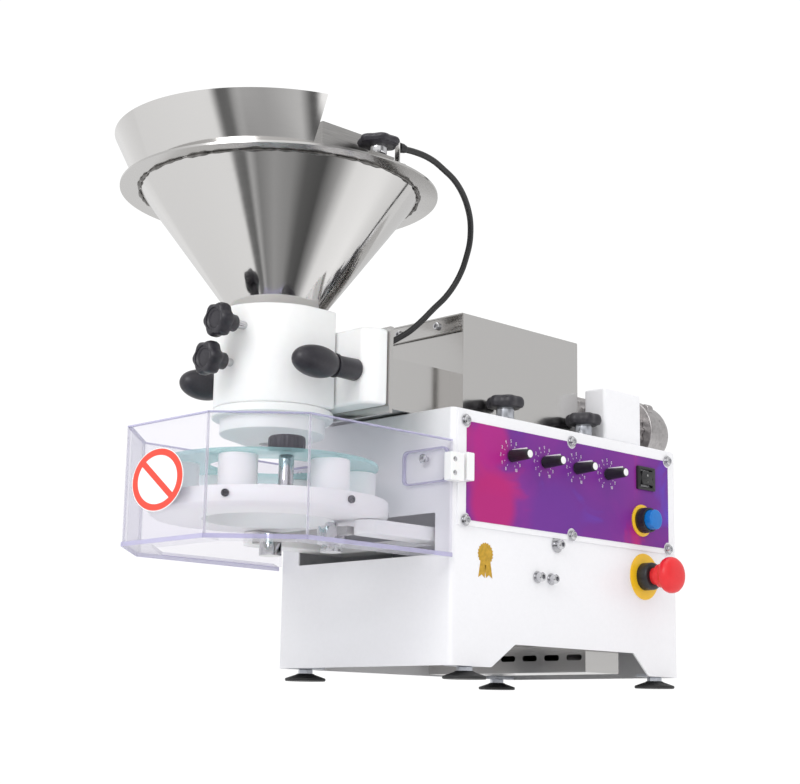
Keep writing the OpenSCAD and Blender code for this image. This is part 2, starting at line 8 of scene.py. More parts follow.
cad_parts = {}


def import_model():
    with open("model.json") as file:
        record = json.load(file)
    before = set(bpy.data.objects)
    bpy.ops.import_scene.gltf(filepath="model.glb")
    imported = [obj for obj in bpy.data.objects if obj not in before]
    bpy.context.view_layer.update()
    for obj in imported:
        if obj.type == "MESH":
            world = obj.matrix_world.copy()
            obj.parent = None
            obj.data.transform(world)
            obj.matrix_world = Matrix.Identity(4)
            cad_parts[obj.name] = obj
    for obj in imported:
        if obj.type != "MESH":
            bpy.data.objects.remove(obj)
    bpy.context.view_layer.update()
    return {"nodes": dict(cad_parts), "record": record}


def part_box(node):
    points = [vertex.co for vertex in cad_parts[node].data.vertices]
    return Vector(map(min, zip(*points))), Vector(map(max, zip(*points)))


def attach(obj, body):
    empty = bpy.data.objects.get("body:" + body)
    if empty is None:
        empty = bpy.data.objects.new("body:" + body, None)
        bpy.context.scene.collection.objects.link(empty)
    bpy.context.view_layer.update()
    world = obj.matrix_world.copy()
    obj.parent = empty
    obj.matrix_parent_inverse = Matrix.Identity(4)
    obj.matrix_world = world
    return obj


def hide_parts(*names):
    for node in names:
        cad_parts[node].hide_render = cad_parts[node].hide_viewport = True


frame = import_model()

MM = 0.001
ORIGIN = Vector(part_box("cabinet_front")[0])
TO_ROW = Matrix.Translation(ORIGIN) @ Matrix.Scale(MM, 4)
TAU = 2 * math.pi

# Places in cabinet millimetres: X along the panel, Y inward from it, Z up, from the near bottom corner.
CABINET = (356, 245, 245)
HEAD_X, MOULD_X, AXIS_Y = -122, -123, 122
PINION, PIVOT = (-82, 78, 0), (-82, 166, 0)
DIALS = [(81.5 + 50.5 * i, 0, 206) for i in range(4)]
PANEL_SCREWS = [(x, z) for x in (16, 175, 338) for z in (136.5, 233)]
BUTTON, ROCKER = (291, 0, 163), (298, 2, 209)
STUD_X, STUD_Y = -132, {"near": -27, "far": 271}
GUARD_HOOKS = ((33, 196), (212, 196))
SIXTHS = [math.radians(30 + 60 * k) for k in range(6)]


def at(x, y, z):
    """A point of the cabinet's own axes, in millimetres, as a point of the row frame."""
    return TO_ROW @ Vector((x, y, z))


# ---------------------------------------------------------------- materials

def material(name, base, rough, metal=0.0, **more):
    """Principled material. more sets other sockets, with _ for a space in their names."""
    m = bpy.data.materials.new(name)
    m.use_nodes = True
    b = m.node_tree.nodes["Principled BSDF"]
    b.inputs["Base Color"].default_value = (*base, 1)
    b.inputs["Roughness"].default_value = rough
    b.inputs["Metallic"].default_value = metal
    for key, value in more.items():
        b.inputs[key.replace("_", " ")].default_value = value
    return m


def add(m, kind, **values):
    """New node in a material. values sets its sockets, or else its properties."""
    n = m.node_tree.nodes.new(kind)
    for key, value in values.items():
        if key in n.inputs:
            n.inputs[key].default_value = value
        else:
            setattr(n, key, value)
    return n


def link(m, a, out, b, into):
    m.node_tree.links.new(a.outputs[out], b.inputs[into])


def set_stops(node, stops):
    """Fill a colour ramp with (position, colour) rows. A plain number is a grey."""
    els = node.color_ramp.elements
    while len(els) < len(stops):
        els.new(0.5)
    for e, (p, c) in zip(els, stops):
        e.position = p
        e.color = (*c, 1) if isinstance(c, tuple) else (c, c, c, 1)


def ramp(m, source, out, stops):
    """Colour ramp fed by a node's output."""
    r = add(m, "ShaderNodeValToRGB")
    link(m, source, out, r, "Fac")
    set_stops(r, stops)
    return r


def grained(m, scale, low, high, bump=0.0, stretch=(1, 1, 1), tint=0.0, depth=0.0004):
    """Noise that varies the roughness, and if asked the colour and the surface."""
    b = m.node_tree.nodes["Principled BSDF"]
    co = add(m, "ShaderNodeTexCoord")
    mp = add(m, "ShaderNodeMapping")
    mp.inputs["Scale"].default_value = stretch
    link(m, co, "Object", mp, "Vector")
    n = add(m, "ShaderNodeTexNoise", Scale=scale, Detail=4.0)
    link(m, mp, "Vector", n, "Vector")
    r = add(m, "ShaderNodeMapRange")
    r.inputs["To Min"].default_value = low
    r.inputs["To Max"].default_value = high
    link(m, n, "Fac", r, "Value")
    link(m, r, "Result", b, "Roughness")
    if bump:
        u = add(m, "ShaderNodeBump", Strength=bump, Distance=depth)
        link(m, n, "Fac", u, "Height")
        link(m, u, "Normal", b, "Normal")
    if tint:
        base = tuple(b.inputs["Base Color"].default_value)[:3]
        dark = tuple(c * (1 - tint) for c in base)
        c = ramp(m, n, "Fac", [(0.3, dark), (0.7, base)])
        link(m, c, "Color", b, "Base Color")
    return m


WHITE = material("white_paint", (0.86, 0.86, 0.885), 0.35, Coat_Weight=0.15)
WHITE = grained(WHITE, 260, 0.3, 0.42, 0.1, tint=0.02)
POLYMER = material("white_polymer", (0.88, 0.88, 0.88), 0.4, Subsurface_Weight=0.05)
POLYMER = grained(POLYMER, 120, 0.36, 0.5, 0.05, tint=0.02)
STEEL = grained(material("stainless", (0.6, 0.59, 0.58), 0.16, 1.0), 30, 0.12, 0.24, 0.05, stretch=(1, 1, 30))
WELD = grained(material("weld_bead", (0.3, 0.29, 0.28), 0.4, 1.0), 160, 0.25, 0.5, 0.4, tint=0.6)
BRUSHED = material("brushed_stainless", (0.5, 0.49, 0.48), 0.36, 1.0)
BRUSHED = grained(BRUSHED, 40, 0.3, 0.45, 0.08, stretch=(1, 1, 30), tint=0.25)
MIRROR = material("polished_stainless", (0.68, 0.67, 0.66), 0.07, 1.0)
MIRROR = grained(MIRROR, 26, 0.05, 0.13, 0.06, stretch=(1, 1, 9), depth=0.0003)
CHROME = grained(material("chrome", (0.6, 0.6, 0.62), 0.1, 1.0), 200, 0.07, 0.16)
ZINC = grained(material("zinc", (0.55, 0.57, 0.62), 0.3, 1.0), 200, 0.22, 0.4, 0.1, tint=0.2)
BLACK = grained(material("black_plastic", (0.014, 0.014, 0.016), 0.35), 300, 0.3, 0.45, 0.1, tint=0.2)
SATIN = grained(material("black_knob", (0.03, 0.028, 0.036), 0.38), 420, 0.32, 0.46, 0.15, tint=0.25)
RUBBER = grained(material("rubber", (0.02, 0.02, 0.021), 0.6), 500, 0.5, 0.7, 0.15, tint=0.2)
BLUE = grained(material("blue_button", (0.0, 0.17, 0.56), 0.3), 200, 0.26, 0.36, tint=0.08)
YELLOW = grained(material("yellow_plate", (0.9, 0.55, 0.015), 0.35), 150, 0.3, 0.42, tint=0.05)
RED = grained(material("red_mushroom", (0.78, 0.018, 0.024), 0.34), 180, 0.3, 0.42, tint=0.06)
WIRE = grained(material("cable_jacket", (0.018, 0.018, 0.019), 0.4), 90, 0.36, 0.46, tint=0.1)
SIGN = grained(material("sign_red", (0.8, 0.062, 0.035), 0.4), 180, 0.25, 0.38, tint=0.05)
FILM = grained(material("white_film", (0.88, 0.88, 0.88), 0.4), 180, 0.34, 0.46, tint=0.03)
MARK = grained(material("white_ink", (0.85, 0.85, 0.85), 0.4), 180, 0.34, 0.46, tint=0.03)
GOLD = grained(material("gold_film", (0.72, 0.43, 0.045), 0.3, 0.5), 260, 0.22, 0.4, 0.1, tint=0.3)
CAST = grained(material("cast_aluminium", (0.52, 0.5, 0.5), 0.35, 0.95), 260, 0.25, 0.45, 0.6, tint=0.25)
GREY = grained(material("grey_paint", (0.2, 0.21, 0.23), 0.5), 200, 0.42, 0.58, 0.1, tint=0.1)
BOARD = grained(material("circuit_board", (0.02, 0.12, 0.05), 0.4), 300, 0.3, 0.5, tint=0.4)


def sheet_glass(name, face, edge, alpha, power):
    """Clear sheet: see-through and tinted face on, more of the edge colour at a slant."""
    m = material(name, edge, 0.04)
    t = m.node_tree
    b = t.nodes["Principled BSDF"]
    co = add(m, "ShaderNodeTexCoord")
    n = add(m, "ShaderNodeTexNoise", Scale=35.0)
    link(m, co, "Object", n, "Vector")
    r = add(m, "ShaderNodeMapRange")
    r.inputs["To Min"].default_value = 0.02
    r.inputs["To Max"].default_value = 0.07
    link(m, n, "Fac", r, "Value")
    link(m, r, "Result", b, "Roughness")
    w = add(m, "ShaderNodeLayerWeight", Blend=power)
    see = add(m, "ShaderNodeBsdfTransparent")
    see.inputs["Color"].default_value = (*face, 1)
    k = add(m, "ShaderNodeMapRange")
    k.inputs["To Min"].default_value = alpha
    k.inputs["To Max"].default_value = 0.9
    link(m, w, "Facing", k, "Value")
    mix = add(m, "ShaderNodeMixShader")
    link(m, k, "Result", mix, "Fac")
    t.links.new(see.outputs[0], mix.inputs[1])
    t.links.new(b.outputs[0], mix.inputs[2])
    t.links.new(mix.outputs[0], t.nodes["Material Output"].inputs["Surface"])
    return m


CLEAR = sheet_glass("clear_guard", (0.965, 0.96, 0.975), (0.72, 0.71, 0.8), 0.02, 0.12)
VIOLET = sheet_glass("guard_edge", (0.74, 0.73, 0.87), (0.7, 0.68, 0.85), 0.3, 0.4)
# Painted highlight: a whiter, less tinted sheet for the strips along the guard's bends.
BEND_HIGHLIGHT = sheet_glass("guard_bend_highlight", (0.9, 0.9, 0.94), (0.95, 0.95, 0.98), 0.2, 0.3)
GLASS = sheet_glass("green_glass", (0.9, 0.985, 0.99), (0.45, 0.78, 0.76), 0.07, 0.3)


def print_material():
    """Purple film with soft magenta and blue clouds and three soft round spots."""
    m = material("panel_print", (0.3, 0.05, 0.35), 0.42, Specular_IOR_Level=0.2)
    b = m.node_tree.nodes["Principled BSDF"]
    co = add(m, "ShaderNodeTexCoord")
    n = add(m, "ShaderNodeTexNoise", Scale=8.5, Detail=5.0, Distortion=1.2)
    link(m, co, "Object", n, "Vector")
    last = ramp(m, n, "Fac", [
        (0.27, (0.1, 0.06, 0.5)), (0.38, (0.16, 0.026, 0.27)), (0.56, (0.21, 0.026, 0.28)),
        (0.64, (0.36, 0.02, 0.22)), (0.72, (0.5, 0.02, 0.19)),
    ])
    spots = (
        (at(55, 0, 155), 0.032, (0.46, 0.014, 0.17)),
        (at(52, 0, 216), 0.026, (0.42, 0.016, 0.22)),
        (at(150, 0, 150), 0.04, (0.15, 0.03, 0.29)),
    )
    for place, radius, colour in spots:
        d = add(m, "ShaderNodeVectorMath", operation="DISTANCE")
        d.inputs[1].default_value = place
        link(m, co, "Object", d, 0)
        g = add(m, "ShaderNodeMapRange", interpolation_type="SMOOTHSTEP")
        g.inputs["From Min"].default_value = radius * 0.75
        g.inputs["From Max"].default_value = radius * 1.25
        g.inputs["To Min"].default_value = 0.9
        g.inputs["To Max"].default_value = 0.0
        link(m, d, "Value", g, "Value")
        x = add(m, "ShaderNodeMixRGB")
        x.inputs["Color2"].default_value = (*colour, 1)
        link(m, g, "Result", x, "Fac")
        link(m, last, "Color", x, "Color1")
        last = x
    link(m, last, "Color", b, "Base Color")
    return m


PRINT = print_material()

by_slot = {
    "white_paint": WHITE, "stainless": STEEL, "polished": CHROME, "black_plastic": BLACK,
    "rubber_black": RUBBER, "overlay": PRINT, "blue_plastic": BLUE, "yellow_plastic": YELLOW,
    "red_plastic": RED, "white_plastic": POLYMER, "glass": GLASS, "clear": CLEAR,
    "sign_red": SIGN, "aluminium": CAST, "grey_paint": GREY, "board": BOARD,
}
by_node = {"hopper": MIRROR, "bridge": BRUSHED}
slots = {s["node"]: s["material_slot"] for s in frame["record"]["subparts"]}
for name, obj in frame["nodes"].items():
    mat = by_node.get(name) or by_slot[slots[name]]
    obj.data.materials.clear()
    obj.data.materials.append(mat)


# ---------------------------------------------------------------- mesh tools

AXES = {
    "X": Matrix(((0, 0, 1), (1, 0, 0), (0, 1, 0))).to_4x4(),
    "Y": Matrix(((0, 1, 0), (0, 0, 1), (1, 0, 0))).to_4x4(),
    "Z": Matrix.Identity(4),
}
FLAT = Matrix(((1, 0, 0, 0), (0, 0, 1, 0), (0, 1, 0, 0), (0, 0, 0, 1)))  # outlines in X and Z, depth along Y


def placed(place, axis):
    """Local axes at a place: the third one runs along the named axis."""
    return Matrix.Translation(place) @ AXES[axis]


def circle(m, r, h, n):
    """Points round the third local axis."""
    return [m @ Vector((r * math.cos(TAU * k / n), r * math.sin(TAU * k / n), h)) for k in range(n)]


def rings(bm, rows, closed=True):
    """Skin rows of points, each with the same number. If closed, each row's ends are joined too."""
    made = [[bm.verts.new(p) for p in row] for row in rows]
    for a, b in zip(made, made[1:]):
        for i in range(len(a) if closed else len(a) - 1):
            j = (i + 1) % len(a)
            bm.faces.new((a[i], a[j], b[j], b[i]))
    return made


def tube(bm, rows):
    """Rows of points skinned into a closed ring, the last row joined to the first."""
    made = rings(bm, rows)
    for i in range(len(made[0])):
        j = (i + 1) % len(made[0])
        bm.faces.new((made[-1][i], made[-1][j], made[0][j], made[0][i]))
    return made


def lathe(bm, profile, m, steps=48, wave=None):
    """Turn a capped profile of (radius, height) rows about the third local axis.

    wave gives a factor on the radius from the angle and the radius.
    """
    rows = []
    for r, h in profile:
        row = []
        for k in range(steps):
            a = TAU * k / steps
            s = r * (wave(a, r) if wave else 1)
            row.append(m @ Vector((s * math.cos(a), s * math.sin(a), h)))
        rows.append(row)
    made = rings(bm, rows)
    for end, flip in ((made[0], True), (made[-1], False)):
        bm.faces.new(reversed(end) if flip else end)


def fluted(count, depth, above=0.0, below=math.inf):
    """A wave for lathe: grooves as deep as a share of the radius, where it lies between two values."""
    return lambda a, r: 1 + (depth * (math.cos(count * a) - 1) if above < r < below else 0)


def slab(bm, outline, lo, hi, m):
    """A plate with the given outline, from lo to hi along the third local axis."""
    made = rings(bm, [[m @ Vector((u, v, h)) for u, v in outline] for h in (lo, hi)])
    bm.faces.new(reversed(made[0]))
    bm.faces.new(made[1])


def cuboid(bm, lo, hi):
    """A box between two corners."""
    corners = [(lo[0], lo[1]), (hi[0], lo[1]), (hi[0], hi[1]), (lo[0], hi[1])]
    slab(bm, corners, lo[2], hi[2], AXES["Z"])


def rounded(lo, hi, r, steps=6):
    """A rectangle's outline with round corners."""
    left, right, low, high = lo[0] + r, hi[0] - r, lo[1] + r, hi[1] - r
    out = []
    for cx, cy, start in ((right, high, 0), (left, high, 1), (left, low, 2), (right, low, 3)):
        for k in range(steps + 1):
            a = math.pi / 2 * (start + k / steps)
            out.append((cx + r * math.cos(a), cy + r * math.sin(a)))
    return out


EDGE_ANGLE = math.radians(35)


def round_edges(o, width, segments):
    """Bevel every sharp edge, width in millimetres."""
    b = o.modifiers.new("edge", "BEVEL")
    b.width = width * MM
    b.segments = segments
    b.limit_method = "ANGLE"
    b.angle_limit = EDGE_ANGLE


def piece(name, bm, mat, body, stands_for=(), bevel=0.0, segments=3, smooth=40.0):
    """Turn a bmesh in cabinet millimetres into an object that rides on a body."""
    bm.transform(TO_ROW)
    bmesh.ops.recalc_face_normals(bm, faces=bm.faces)
    mesh = bpy.data.meshes.new(name)
    bm.to_mesh(mesh)
    bm.free()
    o = bpy.data.objects.new(name, mesh)
    bpy.context.scene.collection.objects.link(o)
    mesh.materials.append(mat)
    for p in mesh.polygons:
        p.use_smooth = True
    mesh.set_sharp_from_angle(angle=math.radians(smooth))
    if bevel:
        round_edges(o, bevel, segments)
    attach(o, body)
    if stands_for:
        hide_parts(*stands_for)
    return o


def carve(o, bm):
    """Cut a bmesh in cabinet millimetres out of a piece, for good."""
    bm.transform(TO_ROW)
    bmesh.ops.recalc_face_normals(bm, faces=bm.faces)
    mesh = bpy.data.meshes.new("cutter")
    bm.to_mesh(mesh)
    bm.free()
    c = bpy.data.objects.new("cutter", mesh)
    bpy.context.scene.collection.objects.link(c)
    d = o.modifiers.new("cut", "BOOLEAN")
    d.object = c
    d.solver = "EXACT"
    done = bpy.data.meshes.new_from_object(o.evaluated_get(bpy.context.evaluated_depsgraph_get()))
    o.modifiers.clear()
    o.data = done
    bpy.data.objects.remove(c)
    done.set_sharp_from_angle(angle=EDGE_ANGLE)


# ---------------------------------------------------------------- stage

# Painted reflections: brightness of what metal mirrors, by the share of a turn round the hopper, standing in
# for the room's walls, the floor near the machine and the floor further off.
PAINTED_WALL_REFLECTION = [
    (0.0, 0.75), (0.06, 0.9), (0.13, 0.8), (0.2, 0.8), (0.225, 0.2), (0.25, 0.35), (0.27, 0.08),
    (0.29, 0.3), (0.31, 0.36), (0.36, 0.6), (0.45, 0.56), (0.5, 0.6), (0.62, 0.5), (0.72, 0.75),
    (0.88, 0.6), (1.0, 0.75),
]
PAINTED_FLOOR_REFLECTION = [
    (0.0, 0.72), (0.012, 0.72), (0.025, 0.16), (0.048, 0.12), (0.06, 0.4), (0.078, 0.2), (0.12, 0.3),
    (0.17, 0.24), (0.205, 0.1), (0.25, 0.07), (0.29, 0.3), (0.33, 0.75), (0.42, 0.85), (0.5, 0.6),
    (0.58, 0.8), (0.75, 0.66), (1.0, 0.72),
]
PAINTED_FAR_FLOOR_REFLECTION = [
    (0.0, 0.74), (0.012, 0.74), (0.03, 0.1), (0.05, 0.14), (0.07, 0.46), (0.12, 0.36), (0.19, 0.5),
    (0.212, 0.1), (0.222, 0.1), (0.235, 0.95), (0.33, 0.9), (0.5, 0.6), (0.75, 0.66), (1.0, 0.74),
]
NEAR_ENDS, FAR_BEGINS = 0.7, 1.1
PAINTED_FLOOR_REFLECTION_STRENGTH, PAINTED_WALL_REFLECTION_STRENGTH, ROOM_LIGHT, BACKDROP = 1.35, 1.3, 1.04, 1.32


def camera():
    """A long lens below the hopper's height, looking a little upwards at the near corner."""
    d = bpy.data.cameras.new("camera")
    d.lens = 75.5
    d.sensor_width = 36
    d.clip_start = 0.01
    o = bpy.data.objects.new("camera", d)
    azimuth, elevation, roll = math.radians(-44.67), math.radians(-11.43), math.radians(1.0)
    level = math.cos(elevation)
    away = Vector((-math.sin(azimuth) * level, math.cos(azimuth) * level, -math.sin(elevation)))
    turn = away.to_track_quat("-Z", "Y").to_matrix() @ Matrix.Rotation(roll, 3, "Z")
    o.matrix_world = Matrix.Translation(at(-1143.2, -1083.7, -61.1)) @ turn.to_4x4()
    bpy.context.scene.collection.objects.link(o)
    bpy.context.scene.camera = o


def floor():
    """Pale floor, see-through from below, where the camera is. To glossy rays it glows with painted
    reflections: banded brightness that metal mirrors.
    """
    bm = bmesh.new()
    rings(bm, [circle(Matrix.Identity(4), r, 0, 64) for r in (3, 1, 0.01)])
    mesh = bpy.data.meshes.new("floor")
    bm.to_mesh(mesh)
    bm.free()
    o = bpy.data.objects.new("floor", mesh)
    bpy.context.scene.collection.objects.link(o)
    m = grained(material("floor_white", (0.93, 0.93, 0.93), 0.6), 8, 0.55, 0.65)
    t = m.node_tree
    co, sep = add(m, "ShaderNodeNewGeometry"), add(m, "ShaderNodeSeparateXYZ")
    turn = add(m, "ShaderNodeMath", operation="ARCTAN2")
    shift = add(m, "ShaderNodeVectorMath", operation="SUBTRACT")
    shift.inputs[1].default_value = at(HEAD_X, AXIS_Y, -12)
    link(m, co, "Position", shift, 0)
    link(m, shift, "Vector", sep, 0)
    link(m, sep, "Y", turn, 0)
    link(m, sep, "X", turn, 1)
    share = add(m, "ShaderNodeMapRange")
    share.inputs["From Min"].default_value = -math.pi
    share.inputs["From Max"].default_value = math.pi
    link(m, turn, "Value", share, "Value")
    bands = ramp(m, share, "Result", PAINTED_FLOOR_REFLECTION)
    far = ramp(m, share, "Result", PAINTED_FAR_FLOOR_REFLECTION)
    reach = add(m, "ShaderNodeVectorMath", operation="LENGTH")
    link(m, shift, "Vector", reach, 0)
    beyond = add(m, "ShaderNodeMapRange")
    beyond.inputs["From Min"].default_value = NEAR_ENDS
    beyond.inputs["From Max"].default_value = FAR_BEGINS
    link(m, reach, "Value", beyond, "Value")
    both = add(m, "ShaderNodeMixRGB")
    link(m, beyond, "Result", both, "Fac")
    link(m, bands, "Color", both, "Color1")
    link(m, far, "Color", both, "Color2")
    # Painted reflection: glossy rays see the floor glow with the banded colours instead of its plain white.
    painted_reflection, path = add(m, "ShaderNodeEmission"), add(m, "ShaderNodeLightPath")
    see = add(m, "ShaderNodeBsdfTransparent")
    painted_reflection.inputs["Strength"].default_value = PAINTED_FLOOR_REFLECTION_STRENGTH
    link(m, both, "Color", painted_reflection, "Color")
    first, second = add(m, "ShaderNodeMixShader"), add(m, "ShaderNodeMixShader")
    link(m, path, "Is Glossy Ray", first, "Fac")
    t.links.new(t.nodes["Principled BSDF"].outputs[0], first.inputs[1])
    t.links.new(painted_reflection.outputs[0], first.inputs[2])
    link(m, co, "Backfacing", second, "Fac")
    t.links.new(first.outputs[0], second.inputs[1])
    t.links.new(see.outputs[0], second.inputs[2])
    t.links.new(second.outputs[0], t.nodes["Material Output"].inputs["Surface"])
    mesh.materials.append(m)


def lamp(name, place, target, size, power, mirrored=True):
    """A square area lamp. One that isn't mirrored leaves no highlight on metal."""
    d = bpy.data.lights.new(name, "AREA")
    d.energy = power
    d.size = size
    o = bpy.data.objects.new(name, d)
    o.location = place
    o.rotation_euler = (Vector(target) - Vector(place)).to_track_quat("-Z", "Y").to_euler()
    o.visible_glossy = mirrored
    bpy.context.scene.collection.objects.link(o)


def world():
    """White to the eye, a softer white as light, and painted reflections of banded grey where metal mirrors
    it.
    """
    w = bpy.data.worlds.new("studio")
    w.use_nodes = True
    t = w.node_tree

    def node(kind, **values):
        n = t.nodes.new(kind)
        for key, value in values.items():
            setattr(n, key, value)
        return n

    light = t.nodes["Background"]
    light.inputs[0].default_value = (1, 1, 1, 1)
    light.inputs[1].default_value = ROOM_LIGHT
    # Painted reflection: glossy rays see banded grey in place of the plain white light.
    plain, mirrored = node("ShaderNodeBackground"), node("ShaderNodeBackground")
    plain.inputs[1].default_value = BACKDROP
    mirrored.inputs[1].default_value = PAINTED_WALL_REFLECTION_STRENGTH
    co, sep = node("ShaderNodeTexCoord"), node("ShaderNodeSeparateXYZ")
    turn, share = node("ShaderNodeMath", operation="ARCTAN2"), node("ShaderNodeMapRange")
    t.links.new(co.outputs["Generated"], sep.inputs[0])
    t.links.new(sep.outputs["Y"], turn.inputs[0])
    t.links.new(sep.outputs["X"], turn.inputs[1])
    share.inputs["From Min"].default_value = -math.pi
    share.inputs["From Max"].default_value = math.pi
    t.links.new(turn.outputs[0], share.inputs["Value"])
    bands = node("ShaderNodeValToRGB")
    t.links.new(share.outputs[0], bands.inputs[0])
    set_stops(bands, PAINTED_WALL_REFLECTION)
    t.links.new(bands.outputs[0], mirrored.inputs[0])
    path = node("ShaderNodeLightPath")
    first, second = node("ShaderNodeMixShader"), node("ShaderNodeMixShader")
    t.links.new(path.outputs["Is Glossy Ray"], first.inputs[0])
    t.links.new(light.outputs[0], first.inputs[1])
    t.links.new(mirrored.outputs[0], first.inputs[2])
    t.links.new(path.outputs["Is Camera Ray"], second.inputs[0])
    t.links.new(first.outputs[0], second.inputs[1])
    t.links.new(plain.outputs[0], second.inputs[2])
    t.links.new(second.outputs[0], t.nodes["World Output"].inputs["Surface"])
    bpy.context.scene.world = w
    bpy.context.scene.view_settings.view_transform = "Standard"


# ---------------------------------------------------------------- cable

CABLE = [
    (-97, -27, 470), (-84, -26.6, 471), (-70, -26, 471), (-55, -24.4, 469.5), (-40, -22, 466),
    (-26, -19.8, 462), (-14, -17, 457), (-2, -13.2, 450), (8, -9, 442), (16, -4.8, 433), (22, 0, 423),
    (26, 5, 412), (27, 10, 400), (27, 16, 387), (24, 23, 373), (18, 30, 360), (9, 37, 348),
    (1, 44.5, 336), (-8, 52, 325), (-16, 58.4, 318), (-24, 64, 312), (-32, 68.6, 306), (-38, 72, 299),
]


def cable():
    """The switch's cable: one smooth curve through the route's points."""
    d = bpy.data.curves.new("sensor_cable_run", "CURVE")
    d.dimensions = "3D"
    d.bevel_depth = 3 * MM
    d.bevel_resolution = 4
    d.resolution_u = 8
    s = d.splines.new("POLY")
    fine = []
    for i in range(len(CABLE) - 1):
        p = [Vector(CABLE[max(0, min(len(CABLE) - 1, i + k))]) for k in (-1, 0, 1, 2)]
        for k in range(4):
            t = k / 4
            straight = (p[2] - p[0]) * t / 2
            bend = (2 * p[0] - 5 * p[1] + 4 * p[2] - p[3]) * t * t / 2
            twist = (3 * p[1] - p[0] - 3 * p[2] + p[3]) * t ** 3 / 2
            fine.append(p[1] + straight + bend + twist)
    fine.append(Vector(CABLE[-1]))
    s.points.add(len(fine) - 1)
    for q, p in zip(s.points, fine):
        q.co = (*at(*p), 1)
    d.materials.append(WIRE)
    o = bpy.data.objects.new("sensor_cable_run", d)
    bpy.context.scene.collection.objects.link(o)
    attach(o, "machine")
    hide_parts("sensor_cable")


def sensor():
    """Bracket and gland on the hopper's flange, the bridge's studs, and the grommet in the neck."""
    bm = bmesh.new()
    slab(bm, rounded((-30, 453), (-24, 475), 1.5), -108, -106.5, AXES["X"])
    cuboid(bm, (-108, -30, 453), (-99, -24, 454.4))
    piece("sensor_bracket", bm, STEEL, "machine", bevel=0.3, segments=2)
    bm = bmesh.new()
    gland = [(4.2, -105.5), (4.5, -105.2), (4.5, -101), (3.9, -100.6), (3.9, -98.4), (3.4, -97.2), (2.6, -97)]
    lathe(bm, gland, placed((0, -27, 470), "X"), 36)
    piece("sensor_gland", bm, BLACK, "machine", ("hopper_sensor",), smooth=30)
    bm = bmesh.new()
    thread = [(3.5 + 0.5 * (k % 2), 453.6 + 0.6 * k) for k in range(25)]
    for y in STUD_Y.values():
        lathe(bm, [(4, 453)] + thread + [(3.3, 469)], placed((STUD_X, y, 0), "Z"), 24)
    piece("bridge_studs", bm, CHROME, "machine")
    bm = bmesh.new()
    lathe(bm, [(6.4, 297.05), (6.4, 298.6), (5.6, 299.6), (4.6, 300)], placed((-38, 72, 0), "Z"), 36)
    piece("cable_grommet", bm, RUBBER, "machine")


# ---------------------------------------------------------------- cabinet

def cabinet():
    """Open-bottomed shell of sheet metal with the front cut-out, the arms' opening and the mains hole."""
    w, d, h = CABINET
    corner, sheet, top_inset = 5, 2, 20
    outside = ((0, 0), (0, h - 2.2), (0.7, h - 0.7), (2.2, h), (top_inset, h))
    inside = ((top_inset, h - 1.6), (sheet, h - 1.6), (sheet, 0))
    rows = []
    for inset, z in outside + inside:
        outline = rounded((inset, inset), (w - inset, d - inset), corner)
        rows.append([Vector((*p, z)) for p in outline])
    bm = bmesh.new()
    made = tube(bm, rows)
    bm.faces.new(made[len(outside) - 1])
    bm.faces.new(reversed(made[len(outside)]))
    plates = ("cabinet_front", "cabinet_side", "cabinet_wrap", "cabinet_top")
    o = piece("cabinet_shell", bm, WHITE, "machine", plates)
    cut = bmesh.new()
    slab(cut, [(55, -1), (305, -1), (278, 23), (91, 23)], -1, 6, FLAT)
    carve(o, cut)
    cut = bmesh.new()
    slab(cut, rounded((22, 104), (217, 144), 2), -3, 8, AXES["X"])
    carve(o, cut)
    cut = bmesh.new()
    cuboid(cut, (276, 240, 30), (304, 250, 50))
    carve(o, cut)


def feet():
    """Levelling feet, with their nuts, studs and the brackets that hold them."""
    rubber, nuts = bmesh.new(), bmesh.new()
    pad = [(20.2, -12), (21, -11.2), (21, -9.4), (20.2, -8.9), (9.6, -5.2), (9, -4.6), (8.4, -4.4)]
    for x in (29.7, 326.3):
        for y in (10, 235):
            m = placed((x, y, 0), "Z")
            lathe(rubber, pad, m, 40)
            lathe(nuts, [(7.4, -5), (7.8, -4.6), (7.8, -0.4), (7.4, -0.05)], m, 6)
            lathe(nuts, [(4, -0.3), (4, 19.5), (3.5, 20)], m, 20)
            near = 2.2 if y < CABINET[1] / 2 else CABINET[1] - 22.2
            cuboid(nuts, (x - 16, near, 0), (x + 16, near + 20, 3))
    piece("foot_pads", rubber, RUBBER, "machine", ("feet",))
    piece("foot_nuts", nuts, ZINC, "machine", bevel=0.3, segments=2)


